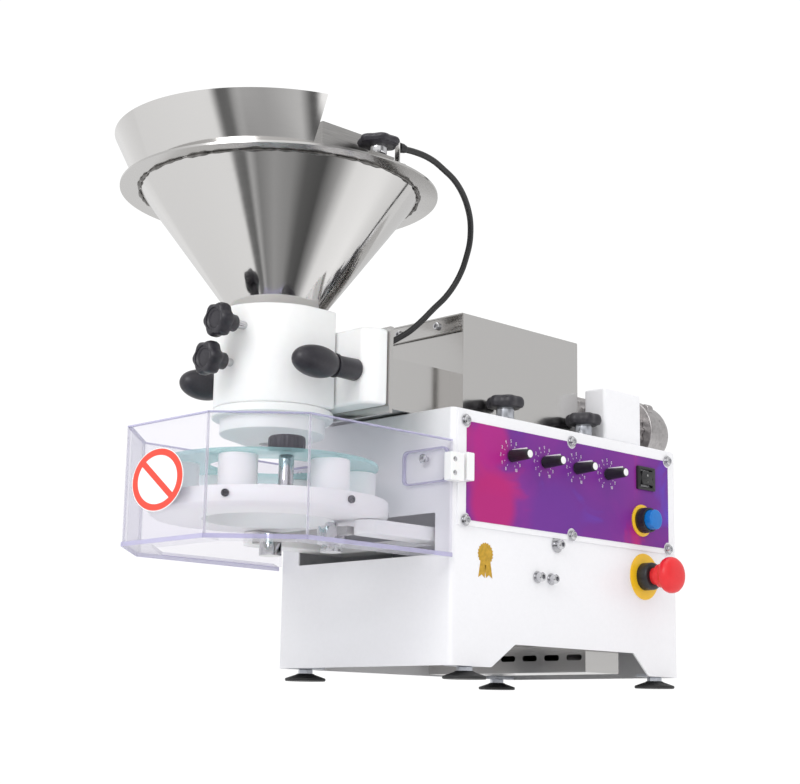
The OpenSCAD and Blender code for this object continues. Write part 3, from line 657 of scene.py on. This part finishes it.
def socket_screws():
    """Every small screw and bolt: a round head with a hexagon socket, on a washer."""
    bm = bmesh.new()

    def screw(m, r, h, socket, washer):
        """One screw from its head's radius and height, the socket's radius and the washer's, or 0."""
        n, twelfth = 36, math.pi / 6
        side = [(r - 0.1, h), (r, h - 0.3), (r, 1.1), (r - 0.8, 0.2), (r - 1.6, 0)]
        rows = [circle(m, q, z, n) for q, z in side]
        for z in (0, h * 0.6):
            row = []
            for k in range(n):
                a = TAU * k / n
                q = socket * math.cos(twelfth) / math.cos((a % (TAU / 6)) - twelfth)
                row.append(m @ Vector((q * math.cos(a), q * math.sin(a), z)))
            rows.append(row)
        made = rings(bm, rows)
        bm.faces.new(made[-1])
        bm.faces.new(made[0])
        if washer:
            lathe(bm, [(washer, h), (washer, h + 0.5), (washer - 0.3, h + 0.75)][::-1], m, 36)

    for x, z in PANEL_SCREWS:
        screw(placed((x, -6, z), "Y"), 4.4, 3.1, 2.3, 5.8)
    for x, z in ((153, 125), (123, 90.5), (144, 90)):
        screw(placed((x, -8.6, z), "Y"), 4.6, 7.6, 2.4, 8 if z > 100 else 6)
    for y in (76, 131, 168):
        screw(placed((52, y, 345), "X"), 4, 3.9, 2, 0)
    for y, z in GUARD_HOOKS:
        screw(placed((-8.5, y, z), "X"), 4.8, 3.0, 2.4, 0)
        lathe(bm, [(2.2, 3.1), (2.2, 8.4)], placed((-8.5, y, z), "X"), 24)
    piece("socket_screws", bm, CHROME, "machine", ("fasteners",), smooth=30)


# ---------------------------------------------------------------- panel

def overlay():
    """Printed film with round bites at the screws."""
    bm = bmesh.new()
    slab(bm, rounded((17.5, 137), (339, 232.5), 1), -1.95, -1.5, FLAT)
    o = piece("panel_print", bm, PRINT, "machine", ("panel_overlay",))
    for x, z in PANEL_SCREWS:
        cut = bmesh.new()
        lathe(cut, [(7.4, -4), (7.4, 4)], placed((x, 0, z), "Y"), 32)
        carve(o, cut)
    carve_controls(o)
    o.data.materials.clear()
    o.data.materials.append(PRINT)


def carve_controls(o):
    """Holes for the dials, the rocker and the start button."""
    cut = bmesh.new()
    for dial in DIALS:
        lathe(cut, [(5, -4), (5, 4)], placed(dial, "Y"), 24)
    cuboid(cut, (284.5, -4, 198), (311.5, 4, 220))
    lathe(cut, [(11.2, -4), (11.2, 4)], placed(BUTTON, "Y"), 32)
    carve(o, cut)


# Strokes of each number in a field one wide and two high.
DIGITS = {
    "0": [[(0.1, 0), (0.9, 0), (0.9, 2), (0.1, 2), (0.1, 0)]],
    "1": [[(0.2, 1.6), (0.6, 2), (0.6, 0)]],
    "2": [[(0.1, 2), (0.9, 2), (0.9, 1), (0.1, 1), (0.1, 0), (0.9, 0)]],
    "3": [[(0.1, 2), (0.9, 2), (0.9, 0), (0.1, 0)], [(0.3, 1), (0.9, 1)]],
    "4": [[(0.1, 2), (0.1, 1), (0.9, 1)], [(0.9, 2), (0.9, 0)]],
    "5": [[(0.9, 2), (0.1, 2), (0.1, 1), (0.9, 1), (0.9, 0), (0.1, 0)]],
    "6": [[(0.9, 2), (0.1, 2), (0.1, 0), (0.9, 0), (0.9, 1), (0.1, 1)]],
    "7": [[(0.1, 2), (0.9, 2), (0.4, 0)]],
    "8": [[(0.1, 0), (0.9, 0), (0.9, 2), (0.1, 2), (0.1, 0)], [(0.1, 1), (0.9, 1)]],
    "9": [[(0.1, 0), (0.9, 0), (0.9, 2), (0.1, 2), (0.1, 1), (0.9, 1)]],
}


def stroke(bm, a, b, width, y):
    """One straight printed line on the panel, as a thin raised bar."""
    thick = 0.04
    a, b = Vector(a), Vector(b)
    d = (b - a).normalized() * width / 2
    n = Vector((-d.y, d.x))
    pts = [a - d - n, b + d - n, b + d + n, a - d + n]
    slab(bm, [(p.x, p.y) for p in pts], y - thick, y, FLAT)


def scales():
    """Ticks and numbers 0 to 10 round each dial."""
    bm = bmesh.new()
    size, pen, face = 1.35, 0.42, -1.97
    for x, _, z in DIALS:
        c = Vector((x, z))
        for k in range(11):
            a = math.radians(240 - 30 * k)
            u = Vector((math.cos(a), math.sin(a)))
            stroke(bm, c + u * 10.4, c + u * 11.6, 0.45, face)
            text = str(k)
            spot = c + u * 15.2 - Vector((len(text) * size * 0.65, size))
            for t, glyph in enumerate(text):
                shift = spot + Vector((t * size * 1.35, 0))
                for line in DIGITS[glyph]:
                    for p, q in zip(line, line[1:]):
                        stroke(bm, shift + Vector(p) * size, shift + Vector(q) * size, pen, face)
    piece("dial_scales", bm, MARK, "machine")


def dials():
    """Fluted pointer dials with a white tip and a white line."""
    side = [(3.9, -26.6), (4.5, -26.2), (4.9, -24.6), (5.0, -23.5)]
    side += [(5.5, -14), (6.1, -4), (6.2, -3.3), (5.9, -3)]

    def flutes(a, r):
        return 1 + 0.02 * math.cos(18 * a) if r > 4.9 else 1

    for name, place in zip(("dial_dough", "dial_filling", "dial_mould", "dial_stop"), DIALS):
        m = placed(place, "Y")
        bm = bmesh.new()
        lathe(bm, side, m, 72, flutes)
        lathe(bm, [(3, -3.2), (3, 11.5), (2.6, 12)], m, 20)
        piece(name + "_knob", bm, BLACK, name, (name,))
        bm = bmesh.new()
        lathe(bm, [(3.2, -27), (3.8, -26.7), (3.9, -26.2)], m, 36)
        line = [(-0.5, 5.0), (0.5, 5.0), (0.5, 6.6), (-0.5, 6.6)]
        slab(bm, line, -22.5, -4, Matrix.Translation(place) @ FLAT)
        piece(name + "_pointer", bm, MARK, name)


def rocker():
    """Power switch: a frame through the panel and a key bent to a shallow V."""
    body, flange = ((285, 198.5), (311, 219.5), 1), ((282.5, 196.5), (313.5, 221.5), 1.6)
    rim, mouth = ((283, 197), (313, 221), 1.4), ((287.6, 199.2), (308.4, 218.8), 0.8)
    throat = ((288, 199.6), (308, 218.4), 0.8)
    steps = [(body, 20), (body, -2), (flange, -2), (flange, -4.1)]
    steps += [(rim, -4.5), (mouth, -4.5), (throat, -4.1), (throat, 20)]
    bm = bmesh.new()
    tube(bm, [[FLAT @ Vector((*p, y)) for p in rounded(*shape)] for shape, y in steps])
    piece("rocker_bezel", bm, BLACK, "machine", ("rocker_frame",))
    bm = bmesh.new()
    profile = [(9, -7.2), (6.5, 0), (9, 7.2), (5.8, 7.4), (-1, 3), (-1, -3), (5.8, -7.4)]
    outward = Matrix(((0, 0, 1, 0), (-1, 0, 0, 0), (0, 1, 0, 0), (0, 0, 0, 1)))
    slab(bm, profile, -9.5, 9.5, Matrix.Translation(ROCKER) @ outward)
    lathe(bm, [(1.5, -11.4), (1.5, 11.4)], placed(ROCKER, "X"), 20)
    piece("rocker_key", bm, BLACK, "rocker", ("rocker",), bevel=0.5, segments=3)
    bm = bmesh.new()
    stroke(bm, (298, 211.5), (298, 215.0), 0.7, -5.9)
    turns = [TAU * k / 24 for k in range(25)]
    ring = [(298 + 1.9 * math.cos(a), 203.4 + 1.9 * math.sin(a)) for a in turns]
    for p, q in zip(ring, ring[1:]):
        stroke(bm, p, q, 0.6, -5.9)
    piece("rocker_marks", bm, MARK, "rocker")


def start_button():
    """Yellow ring, black collar and blue plunger."""
    m = placed(BUTTON, "Y")
    bm = bmesh.new()
    lathe(bm, [(16.4, -3.6), (17, -3.2), (17, -2.1), (11, -2.0)][::-1], m, 64)
    piece("button_ring", bm, YELLOW, "machine")
    bm = bmesh.new()
    rows = [(13.2, -3.4), (13.5, -4.2), (13.5, -9), (13.0, -10.5), (13.2, -12.5), (12.9, -14)]
    rows += [(11.6, -14.4), (10.6, -13.8), (10.56, -3), (10.56, 30)]
    lathe(bm, rows, m, 64)
    piece("button_collar", bm, BLACK, "machine", ("button_bezel",))
    bm = bmesh.new()
    lathe(bm, [(8.6, -22), (9.8, -21.8), (10.4, -21.2), (10.5, -20.4), (10.5, 2), (10, 2.2)], m, 64)
    piece("button_plunger", bm, BLUE, "start_button", ("button_cap",))


def emergency_stop():
    """Yellow disc, black sleeve and red mushroom."""
    m = placed((297, 0, 104), "Y")
    bm = bmesh.new()
    lathe(bm, [(11.2, -0.05), (24.2, -0.05), (24.5, -0.3), (24.3, -0.9), (24, -1.0), (11.2, -1.0)], m, 72)
    piece("stop_ring", bm, YELLOW, "machine", ("stop_plate",))
    bm = bmesh.new()
    lathe(bm, [(14.5, -1.1), (14.5, -11.5), (14, -13), (12.6, -14), (9.1, -14), (9.1, 20)], m, 64)
    piece("stop_sleeve", bm, BLACK, "machine", ("stop_collar",))
    bm = bmesh.new()
    rows = [(0.6, -44.5), (5, -44.4), (10, -43.9), (14, -42.8), (16.6, -41.2), (18.4, -38.8), (19, -36)]
    rows += [(18.9, -33.4), (18, -31.2), (16.2, -29.6), (14.4, -28.6), (13, -27.8), (12.5, -26.6)]
    rows += [(12.2, -24), (12.4, -21.5), (12.2, -20.7), (9, -20.4), (9, 14)]
    lathe(bm, rows, m, 72)
    piece("stop_mushroom", bm, RED, "emergency_stop", ("stop_head",))


# ---------------------------------------------------------------- cover and neck

def cover_shell():
    """Folded stainless cover, open towards the hopper, with its lip and its foot under the knobs."""
    lo, hi, sheet, fold = (56, 40, 245), (236, 204, 354), 1.4, 2.0
    bm = bmesh.new()
    outline = rounded((lo[1], lo[2] - 20), (hi[1], hi[2]), fold)
    outline = [(u, max(v, lo[2] + 0.1)) for u, v in outline]
    slab(bm, outline, lo[0], hi[0], AXES["X"])
    o = piece("cover_sheet", bm, STEEL, "machine", ("cover",))
    cut = bmesh.new()
    cuboid(cut, (lo[0] - 2, lo[1] + sheet, lo[2] - 5), (hi[0] - sheet, hi[1] - sheet, hi[2] - sheet))
    carve(o, cut)
    cut = bmesh.new()
    lathe(cut, [(25, 228), (25, 240)], placed((0, 74, 276), "X"), 40)
    carve(o, cut)
    bm = bmesh.new()
    cuboid(bm, (56.1, 41.5, 336.5), (57.6, 202.5, 352.5))
    cuboid(bm, (57.6, 41.5, 336.5), (61.5, 202.5, 337.7))
    slab(bm, rounded((60, 8), (236, 41), 4), 245.05, 246.5, AXES["Z"])
    o = piece("cover_lips", bm, STEEL, "machine", bevel=0.4, segments=2)
    cut = bmesh.new()
    for x in (97, 221):
        lathe(cut, [(4.6, 240), (4.6, 250)], placed((x, 20, 0), "Z"), 24)
    carve(o, cut)


def star_knob(name, body, node, place, axis, sign, r, t, hub_r, hub_h, stem_mat):
    """Six-lobed knob with a dished front on a short stem. sign tells which way its front faces."""
    m = placed(place, axis) @ Matrix.Scale(sign, 4, (0, 0, 1))
    bm = bmesh.new()
    rows = [(hub_r, 0.0), (r * 0.8, 0.2), (r * 0.93, 1.0), (r * 0.99, 3.2), (r, t * 0.45)]
    rows += [(r * 0.985, t * 0.68), (r * 0.93, t * 0.87), (r * 0.84, t * 0.97), (r * 0.74, t)]
    rows += [(r * 0.62, t * 0.96), (11.9 * r / 19.5, t * 0.88), (r * 0.5, t * 0.8)]
    rows += [(r * 0.42, t * 0.84), (r * 0.3, t * 0.86)]
    lathe(bm, rows, m, 96, fluted(6, 0.07, above=12))
    piece(name, bm, SATIN, body, (node,))
    bm = bmesh.new()
    hub = [(hub_r - 0.4, -hub_h), (hub_r, -hub_h + 0.5), (hub_r, -1.5), (hub_r - 0.6, -1), (hub_r - 0.6, 0.3)]
    lathe(bm, hub, m, 48)
    piece(name + "_stem", bm, stem_mat, body)


def knobs():
    """The star knobs of the cover, the bridge and the head."""
    for side, x in (("left", 97), ("right", 221)):
        node = "cover_knob_" + side
        star_knob(node + "_head", node, node, (x, 20, 258.7), "Z", 1, 19.4, 11.9, 9, 12, ZINC)
    for side, y in STUD_Y.items():
        node = "bridge_knob_" + side
        star_knob(node + "_head", node, node, (STUD_X, y, 464), "Z", 1, 20.2, 7.9, 8, 8, CHROME)
    for side, y, z in (("upper", 104, 308), ("lower", 118, 274)):
        node = "star_" + side
        star_knob(node + "_head", node, node, (-199, y, z), "X", -1, 17, 13.9, 8, 12, SATIN)
        bm = bmesh.new()
        lathe(bm, [(3.4, -188), (4, -187.4), (4, -169.5), (3.5, -169)], placed((0, y, z), "X"), 24)
        piece(node + "_stud", bm, CHROME, node)


def handles():
    """Egg-shaped clamp handles, each with a ribbed ring at its neck."""
    for side, y in (("near", 39), ("far", 205)):
        node = "clamp_" + side
        m = placed((0, y, 270), "X")
        bm = bmesh.new()
        rows = []
        for k in range(1, 24):
            a = math.pi * k / 26
            x = -142 - 27 * math.cos(a)
            rows.append((15 * math.sin(a) ** 0.93, x))
        rows += [(9.9, -117.5), (10, -116.8), (10.5, -93.4), (10.2, -92.6), (6, -92.5), (6, -77)]
        lathe(bm, rows, m, 64)
        piece(node + "_egg", bm, SATIN, node, (node,), smooth=60)
        bm = bmesh.new()
        ring = [(10.6, -120.4), (11.3, -119.8), (11.3, -118.2), (10.6, -117.6)]
        lathe(bm, ring, m, 160, lambda a, r: 1 + 0.012 * math.cos(40 * a))
        piece(node + "_rib", bm, SATIN, node)


# ---------------------------------------------------------------- head

def head():
    """White block with a round front and bored from above, its back plate, and the outlet under it."""
    axis, r, back = placed((HEAD_X, AXIS_Y, 0), "Z"), 57, -94
    turns = [math.pi / 2 + math.pi * k / 32 for k in range(33)]
    outline = [(HEAD_X + r * math.cos(a), AXIS_Y + r * math.sin(a)) for a in turns]
    bm = bmesh.new()
    slab(bm, outline + [(back, AXIS_Y - r), (back, AXIS_Y + r)], 235.2, 329.8, AXES["Z"])
    o = piece("head_body", bm, POLYMER, "machine", ("head_block",), bevel=2.2, segments=4)
    bm = bmesh.new()
    plate = [(-92, 32), (-80, 22), (-66.3, 22), (-66.3, 222), (-80, 222), (-92, 212)]
    slab(bm, plate, 238, 311, AXES["Z"])
    piece("head_wing", bm, POLYMER, "machine", bevel=3, segments=5)
    cut = bmesh.new()
    lathe(cut, [(41, 264), (41, 340)], axis, 64)
    lathe(cut, [(20, 230), (20, 265)], axis, 48)
    carve(o, cut)
    round_edges(o, 2, 4)
    bm = bmesh.new()
    rows = [(12, 204.2), (28.6, 204.2), (30, 204.8), (48.8, 211.4), (50, 212.6), (50, 225.4)]
    rows += [(51, 226.2), (56.8, 226.4), (58, 227.6), (58, 233.6), (57, 234.9), (12, 234.9)]
    lathe(bm, rows, axis, 96)
    o = piece("outlet", bm, POLYMER, "machine", ("nozzle",))
    cut = bmesh.new()
    lathe(cut, [(12, 200), (12, 240)], axis, 48)
    carve(o, cut)


def collar():
    """Raised front wall of the mouth, a sheet that leans outwards between two circles."""
    bm = bmesh.new()
    levels, steps, cut, sheet = 12, 72, -188, 1.5
    skins = []
    for inside in (0, sheet):
        rows = []
        for i in range(levels + 1):
            t = i / levels
            cx, r, z = -124 - 13 * t, 136 + 14 * t - inside, 453 + 47.5 * t
            a = math.acos((cut - cx) / r)
            turns = [a + (TAU - 2 * a) * k / steps for k in range(steps + 1)]
            rows.append([Vector((cx + r * math.cos(b), AXIS_Y + r * math.sin(b), z)) for b in turns])
        skins.append(rings(bm, rows, closed=False))
    outer, inner = skins
    for i in range(levels):
        for k in (0, steps):
            bm.faces.new((outer[i][k], outer[i + 1][k], inner[i + 1][k], inner[i][k]))
    for i in (0, levels):
        for k in range(steps):
            bm.faces.new((outer[i][k], outer[i][k + 1], inner[i][k + 1], inner[i][k]))
    piece("collar_sheet", bm, MIRROR, "machine", ("collar",))


def weld():
    """Uneven weld beads where the cone meets the flat flange."""
    bm = bmesh.new()
    steps, sides, seam, level = 240, 8, 136.6, 450.2
    rows = []
    for k in range(steps):
        a = TAU * k / steps
        coarse, fine = math.sin(23 * a + 1.3) * math.sin(7 * a), math.sin(61 * a) * math.sin(5 * a + 0.4)
        bead = max(0.35, 1.25 + 0.8 * coarse + 0.5 * fine)
        row = []
        for j in range(sides):
            b = TAU * j / sides
            r, z = seam + bead * math.cos(b), level + bead * 0.9 * math.sin(b)
            row.append(Vector((HEAD_X + r * math.cos(a), AXIS_Y + r * math.sin(a), z)))
        rows.append(row)
    tube(bm, rows)
    piece("flange_weld", bm, WELD, "machine", smooth=80)


# ---------------------------------------------------------------- mould

def mould_point(a, r, z):
    """A place at an angle and a radius from the mould's axis."""
    return (MOULD_X + r * math.cos(a), AXIS_Y + r * math.sin(a), z)


def mould():
    """Drum with its sleeves, rim screws and the glass's post and knob."""
    m = placed((MOULD_X, AXIS_Y, 131), "Z")
    bm = bmesh.new()
    rows = [(62.6, 0.4), (63, 0), (105.8, 0), (107.6, 0.4), (112.2, 3.6), (113, 5)]
    rows += [(113, 17.6), (112, 18.8), (110.6, 19), (63, 19), (62.2, 18.4)]
    tube(bm, [circle(m, r, h, 128) for r, h in rows])
    piece("drum_ring", bm, POLYMER, "mould_drum", ("drum",))
    bm = bmesh.new()
    for a in SIXTHS:
        lathe(bm, [(17.4, 0.1), (18, 0.7), (18, 29.8), (17.2, 30.7)], placed(mould_point(a, 85, 150), "Z"), 48)
    piece("sleeve_set", bm, POLYMER, "mould_drum", ("sleeves",))
    bm = bmesh.new()
    for a in SIXTHS:
        t = Matrix.Translation(mould_point(a, 113, 142)) @ Matrix.Rotation(a, 4, "Z") @ AXES["X"]
        lathe(bm, [(3.4, 0.1), (3.6, 0.6), (3.5, 2.6), (3.0, 3.2), (1.8, 3.2), (1.8, 1.6)], t, 30)
    piece("rim_screw_heads", bm, SATIN, "mould_drum", ("rim_screws",))
    post = mould_point(math.radians(-120), 82, 0)
    m = placed(post, "Z") @ Matrix.Translation((0, 0, 181))
    bm = bmesh.new()
    grip = [(15.8, 4.2), (16.8, 5), (17, 7), (17, 14.4), (16.4, 16.2), (15, 17.2), (11, 16.8), (4.2, 16.4)]
    lathe(bm, grip, m, 120, fluted(20, 0.02, above=14))
    lathe(bm, [(9.6, 4.25), (10, 4.8), (10, 8.2)], m, 40)
    piece("glass_knob_head", bm, SATIN, "glass_knob", ("glass_knob",))
    bm = bmesh.new()
    stem = [(6.4, 150), (7, 150.5), (7, 180.4), (6.6, 180.9), (4, 181), (4, 196.5), (3.5, 197)]
    lathe(bm, stem, placed(post, "Z"), 40)
    piece("glass_post_turned", bm, CHROME, "mould_drum", ("glass_post",))


def glass_plate():
    """Green glass ring."""
    m = placed((MOULD_X, AXIS_Y, 181), "Z")
    rows = ((58, 0.2), (102.6, 0.2), (103, 0.6), (103, 3.5), (102.6, 3.9), (58, 3.9))
    bm = bmesh.new()
    tube(bm, [circle(m, r, h, 128) for r, h in rows])
    piece("glass_ring", bm, GLASS, "mould_drum", ("glass_disc",), smooth=30)


def carrying_arms():
    """Two arms with round ends, their crossbar, the two bosses and the drive shaft's knurled end."""
    bm = bmesh.new()
    turns = [math.pi / 2 + math.pi * k / 16 for k in range(17)]
    r = 14
    for y in (40, 200):
        outline = [(-70 + r * math.cos(a), y + r * math.sin(a)) for a in turns]
        slab(bm, outline + [(60, y - r), (60, y + r)], 117, 130.5, AXES["Z"])
    cuboid(bm, (30, 53, 117), (60, 187, 126))
    piece("arm_pair", bm, POLYMER, "machine", ("arms",), bevel=1.2, segments=3)
    bm = bmesh.new()
    lathe(bm, [(13.4, 110.2), (14, 110.8), (14, 125), (13.4, 125.8)], placed(PINION, "Z"), 48)
    lathe(bm, [(10.4, 104), (11, 104.6), (11, 125), (10.4, 125.8)], placed(PIVOT, "Z"), 48)
    piece("arm_hub", bm, CHROME, "machine")
    bm = bmesh.new()
    cuboid(bm, (-87, 52, 117), (-77, 188, 125))
    piece("arm_crossbar", bm, BRUSHED, "machine", bevel=0.8, segments=2)
    bm = bmesh.new()
    shaft = [(10.4, 102), (11, 102.5), (11, 108.4), (10.6, 109), (6, 109.2), (6, 129.6), (5.4, 130)]
    lathe(bm, shaft, placed(PINION, "Z"), 48, fluted(14, 0.05, above=10))
    piece("pinion_turned", bm, CHROME, "drive_pinion", ("drive_pinion",))


# ---------------------------------------------------------------- guard

def guard():
    """Bent clear sheet: five walls, a floor rim and two tabs, with violet cut edges, whitish strips of painted
    highlight along the bends, and the sign.
    """
    plan = [(-1, -1), (-182, -1), (-246, 63), (-246, 182), (-182, 246), (-1, 246)]
    inner = [(-1, 3), (-180.36, 3), (-242, 64.64), (-242, 180.36), (-180.36, 242), (-1, 242)]
    low, high, sheet, lip = 100, 212, 4, 1.2
    bm = bmesh.new()
    edge = bmesh.new()

    def wall(target, a, b, c, d, z0, z1):
        slab(target, [a, b, c, d], z0, z1, AXES["Z"])

    for k in range(5):
        a, b, c, d = plan[k], plan[k + 1], inner[k + 1], inner[k]
        wall(bm, a, b, c, d, low + sheet, high - lip)
        wall(edge, a, b, c, d, high - lip, high)
    piece("guard_walls", bm, CLEAR, "guard", ("guard",))
    bm = bmesh.new()
    inside = [(-31, 25), (-171.3, 25), (-220, 73.7), (-220, 171.3), (-171.3, 220), (-31, 220)]
    for k in range(5):
        wall(bm, plan[k], plan[k + 1], inside[k + 1], inside[k], low + 0.2, low + 3.8)
    piece("guard_floor_rim", bm, CLEAR, "guard")
    for k in range(5):
        a, b = Vector(plan[k]), Vector(plan[k + 1])
        n = Vector((b.y - a.y, a.x - b.x)).normalized() * -1
        wall(edge, a, b, b + n, a + n, low, low + sheet)
    # Painted highlight: a narrow whitish strip inside each bend of the sheet.
    bend = bmesh.new()
    for k in range(1, 5):
        x, y = plan[k]
        u, v = inner[k]
        d = Vector((u - x, v - y)).normalized()
        s = Vector((-d.y, d.x)) * 0.9
        p = Vector((x, y)) + d * 0.5
        wall(bend, p - s, p + s, p + s + d * 2.2, p - s + d * 2.2, low + sheet, high - lip)
    piece("guard_bend_highlights", bend, BEND_HIGHLIGHT, "guard")
    piece("guard_edges", edge, VIOLET, "guard")
    bm = bmesh.new()
    for y in (3, 182):
        slab(bm, rounded((y, 172), (y + 60, 206), 6), -5, -1.2, AXES["X"])
    o = piece("guard_tabs", bm, CLEAR, "guard")
    cut = bmesh.new()
    for y, z in GUARD_HOOKS:
        lathe(cut, [(5.5, -8), (5.5, 2)], placed((0, y, z - 12), "X"), 32)
        cuboid(cut, (-8, y - 2.6, z - 12), (2, y + 2.6, z))
        lathe(cut, [(2.6, -7), (2.6, 1)], placed((0, y, z), "X"), 24)
    carve(o, cut)
    bm = bmesh.new()
    for y in (3, 182):
        rows = []
        for inset, x in ((0.1, -5.1), (0.1, -1.1), (1.6, -1.1), (1.6, -5.1)):
            outline = rounded((y + inset, 172 + inset), (y + 60 - inset, 206 - inset), 6)
            rows.append([Vector((x, u, v)) for u, v in outline])
        tube(bm, rows)
    piece("guard_tab_edges", bm, VIOLET, "guard")
    turn = placed((-246.15, 132, 157), "X") @ Matrix.Diagonal((1.32, 1, 1, 1))
    bm = bmesh.new()
    lathe(bm, [(28.8, -0.25), (28.8, 0.1)], turn, 72)
    piece("sign_backing", bm, FILM, "guard")
    bm = bmesh.new()
    rows = ((22.2, -0.26), (22.2, -0.4), (28, -0.4), (28, -0.26))
    tube(bm, [circle(turn, r, h, 96) for r, h in rows])
    q = turn @ Matrix.Rotation(math.radians(45), 4, "Z")
    slab(bm, [(-23.5, -2.8), (23.5, -2.8), (23.5, 2.8), (-23.5, 2.8)], -0.38, -0.26, q)
    piece("sign_ring", bm, SIGN, "guard", ("guard_sign",))


def switch_blocks():
    """The guard's interlock: its magnet, the switch beside it, and the magnet's screws."""
    bm = bmesh.new()
    slab(bm, rounded((-14, 171), (4, 198), 1.2), -12, -2, FLAT)
    piece("magnet_block", bm, POLYMER, "guard", ("guard_magnet",), bevel=0.8)
    bm = bmesh.new()
    slab(bm, rounded((8, 173), (18, 200), 1.2), -12, -2, FLAT)
    piece("sensor_block", bm, POLYMER, "machine", ("guard_sensor",), bevel=0.8)
    bm = bmesh.new()
    for z in (178, 191):
        lathe(bm, [(1.9, -12.9), (2.6, -12.5), (2.6, -12.0)], placed((-9, 0.5, z), "Y"), 24)
        lathe(bm, [(1.0, -12.95), (1.0, -12.6)], placed((-9, 0.5, z), "Y"), 6)
    piece("magnet_screws", bm, CHROME, "guard")


# ---------------------------------------------------------------- motor

def motor():
    """Cast motor with ribs along its body, a ribbed round end and a plain terminal box."""
    bm = bmesh.new()
    m = placed((0, 74, 276), "X")
    body = [(24, 237), (24, 257), (26.5, 257.5), (28, 260), (28, 362)]
    lathe(bm, body, m, 128, fluted(16, 0.05, above=26, below=29))
    rows = [(30, 362.6), (36.6, 363.2), (37.4, 364.2), (37.4, 375.6), (36.4, 376.8), (35.4, 377.2)]
    dome_x, grooves = 385, (9, 10, 17, 18)
    for k in range(4, 30):
        a = math.pi / 2 * k / 30
        r = 33.8 if k in grooves else 35.4
        rows.append((r * math.cos(a), dome_x + r * math.sin(a)))
    lathe(bm, rows, m, 96)
    for k in range(4):
        a = math.radians(45 + 90 * k)
        lug = m @ Matrix.Translation((35.5 * math.cos(a), 35.5 * math.sin(a), 0))
        lathe(bm, [(5.4, 365.2), (6, 365.8), (6, 374.6), (5.2, 375)], lug, 24)
    arc = [math.pi / 2 * j / 9 for j in range(9)]
    arc = [(34.2 * math.cos(b), dome_x + 34.2 * math.sin(b)) for b in arc]
    for k in range(8):
        t = m @ Matrix.Rotation(TAU * (k + 0.5) / 8, 4, "Z")
        for ends in zip(arc, arc[1:]):
            rows = []
            for r, h in ends:
                section = ((r - 2, -1.3), (r - 2, 1.3), (r + 1.0, 1.3), (r + 1.0, -1.3))
                rows.append([t @ Vector((q, s, h)) for q, s in section])
            rings(bm, rows)
    piece("motor_casting", bm, CAST, "machine", ("motor",), bevel=0.4, segments=2)
    bm = bmesh.new()
    slab(bm, rounded((243, 8), (306, 37), 4), 245.6, 302, AXES["Z"])
    piece("terminal_cover", bm, WHITE, "machine", ("terminal_box",), bevel=2, segments=4)


def rosette():
    """Plain gold sticker: a scalloped disc with two tails and no lettering."""
    bm = bmesh.new()
    disc = [(10.5, -0.3), (11, -0.2), (11, -0.02)]
    lathe(bm, disc, placed((47, -0.05, 107), "Y"), 120, fluted(20, 0.05))
    for tail in (
        [(37, 84), (42, 87), (46, 84), (48, 98), (40, 100)],
        [(48, 84), (52, 87), (57, 84), (54, 100), (46, 98)],
    ):
        slab(bm, tail, -0.25, -0.02, FLAT)
    piece("gold_sticker", bm, GOLD, "machine")


camera()
cable()
world()
floor()
lamp("key", (-2.4, -0.6, 1.5), (0, 0, 0.25), 1.2, 20)
lamp("fill", (1.6, -1.8, 1.0), (0, 0, 0.25), 1.5, 1, mirrored=False)
lamp("top", (0, 0, 2.2), (0, 0, 0), 1.6, 8)

cabinet()
sensor()
collar()
feet()
socket_screws()
overlay()
scales()
dials()
rocker()
start_button()
emergency_stop()
cover_shell()
knobs()
handles()
head()
weld()
mould()
glass_plate()
carrying_arms()
guard()
switch_blocks()
motor()
rosette()
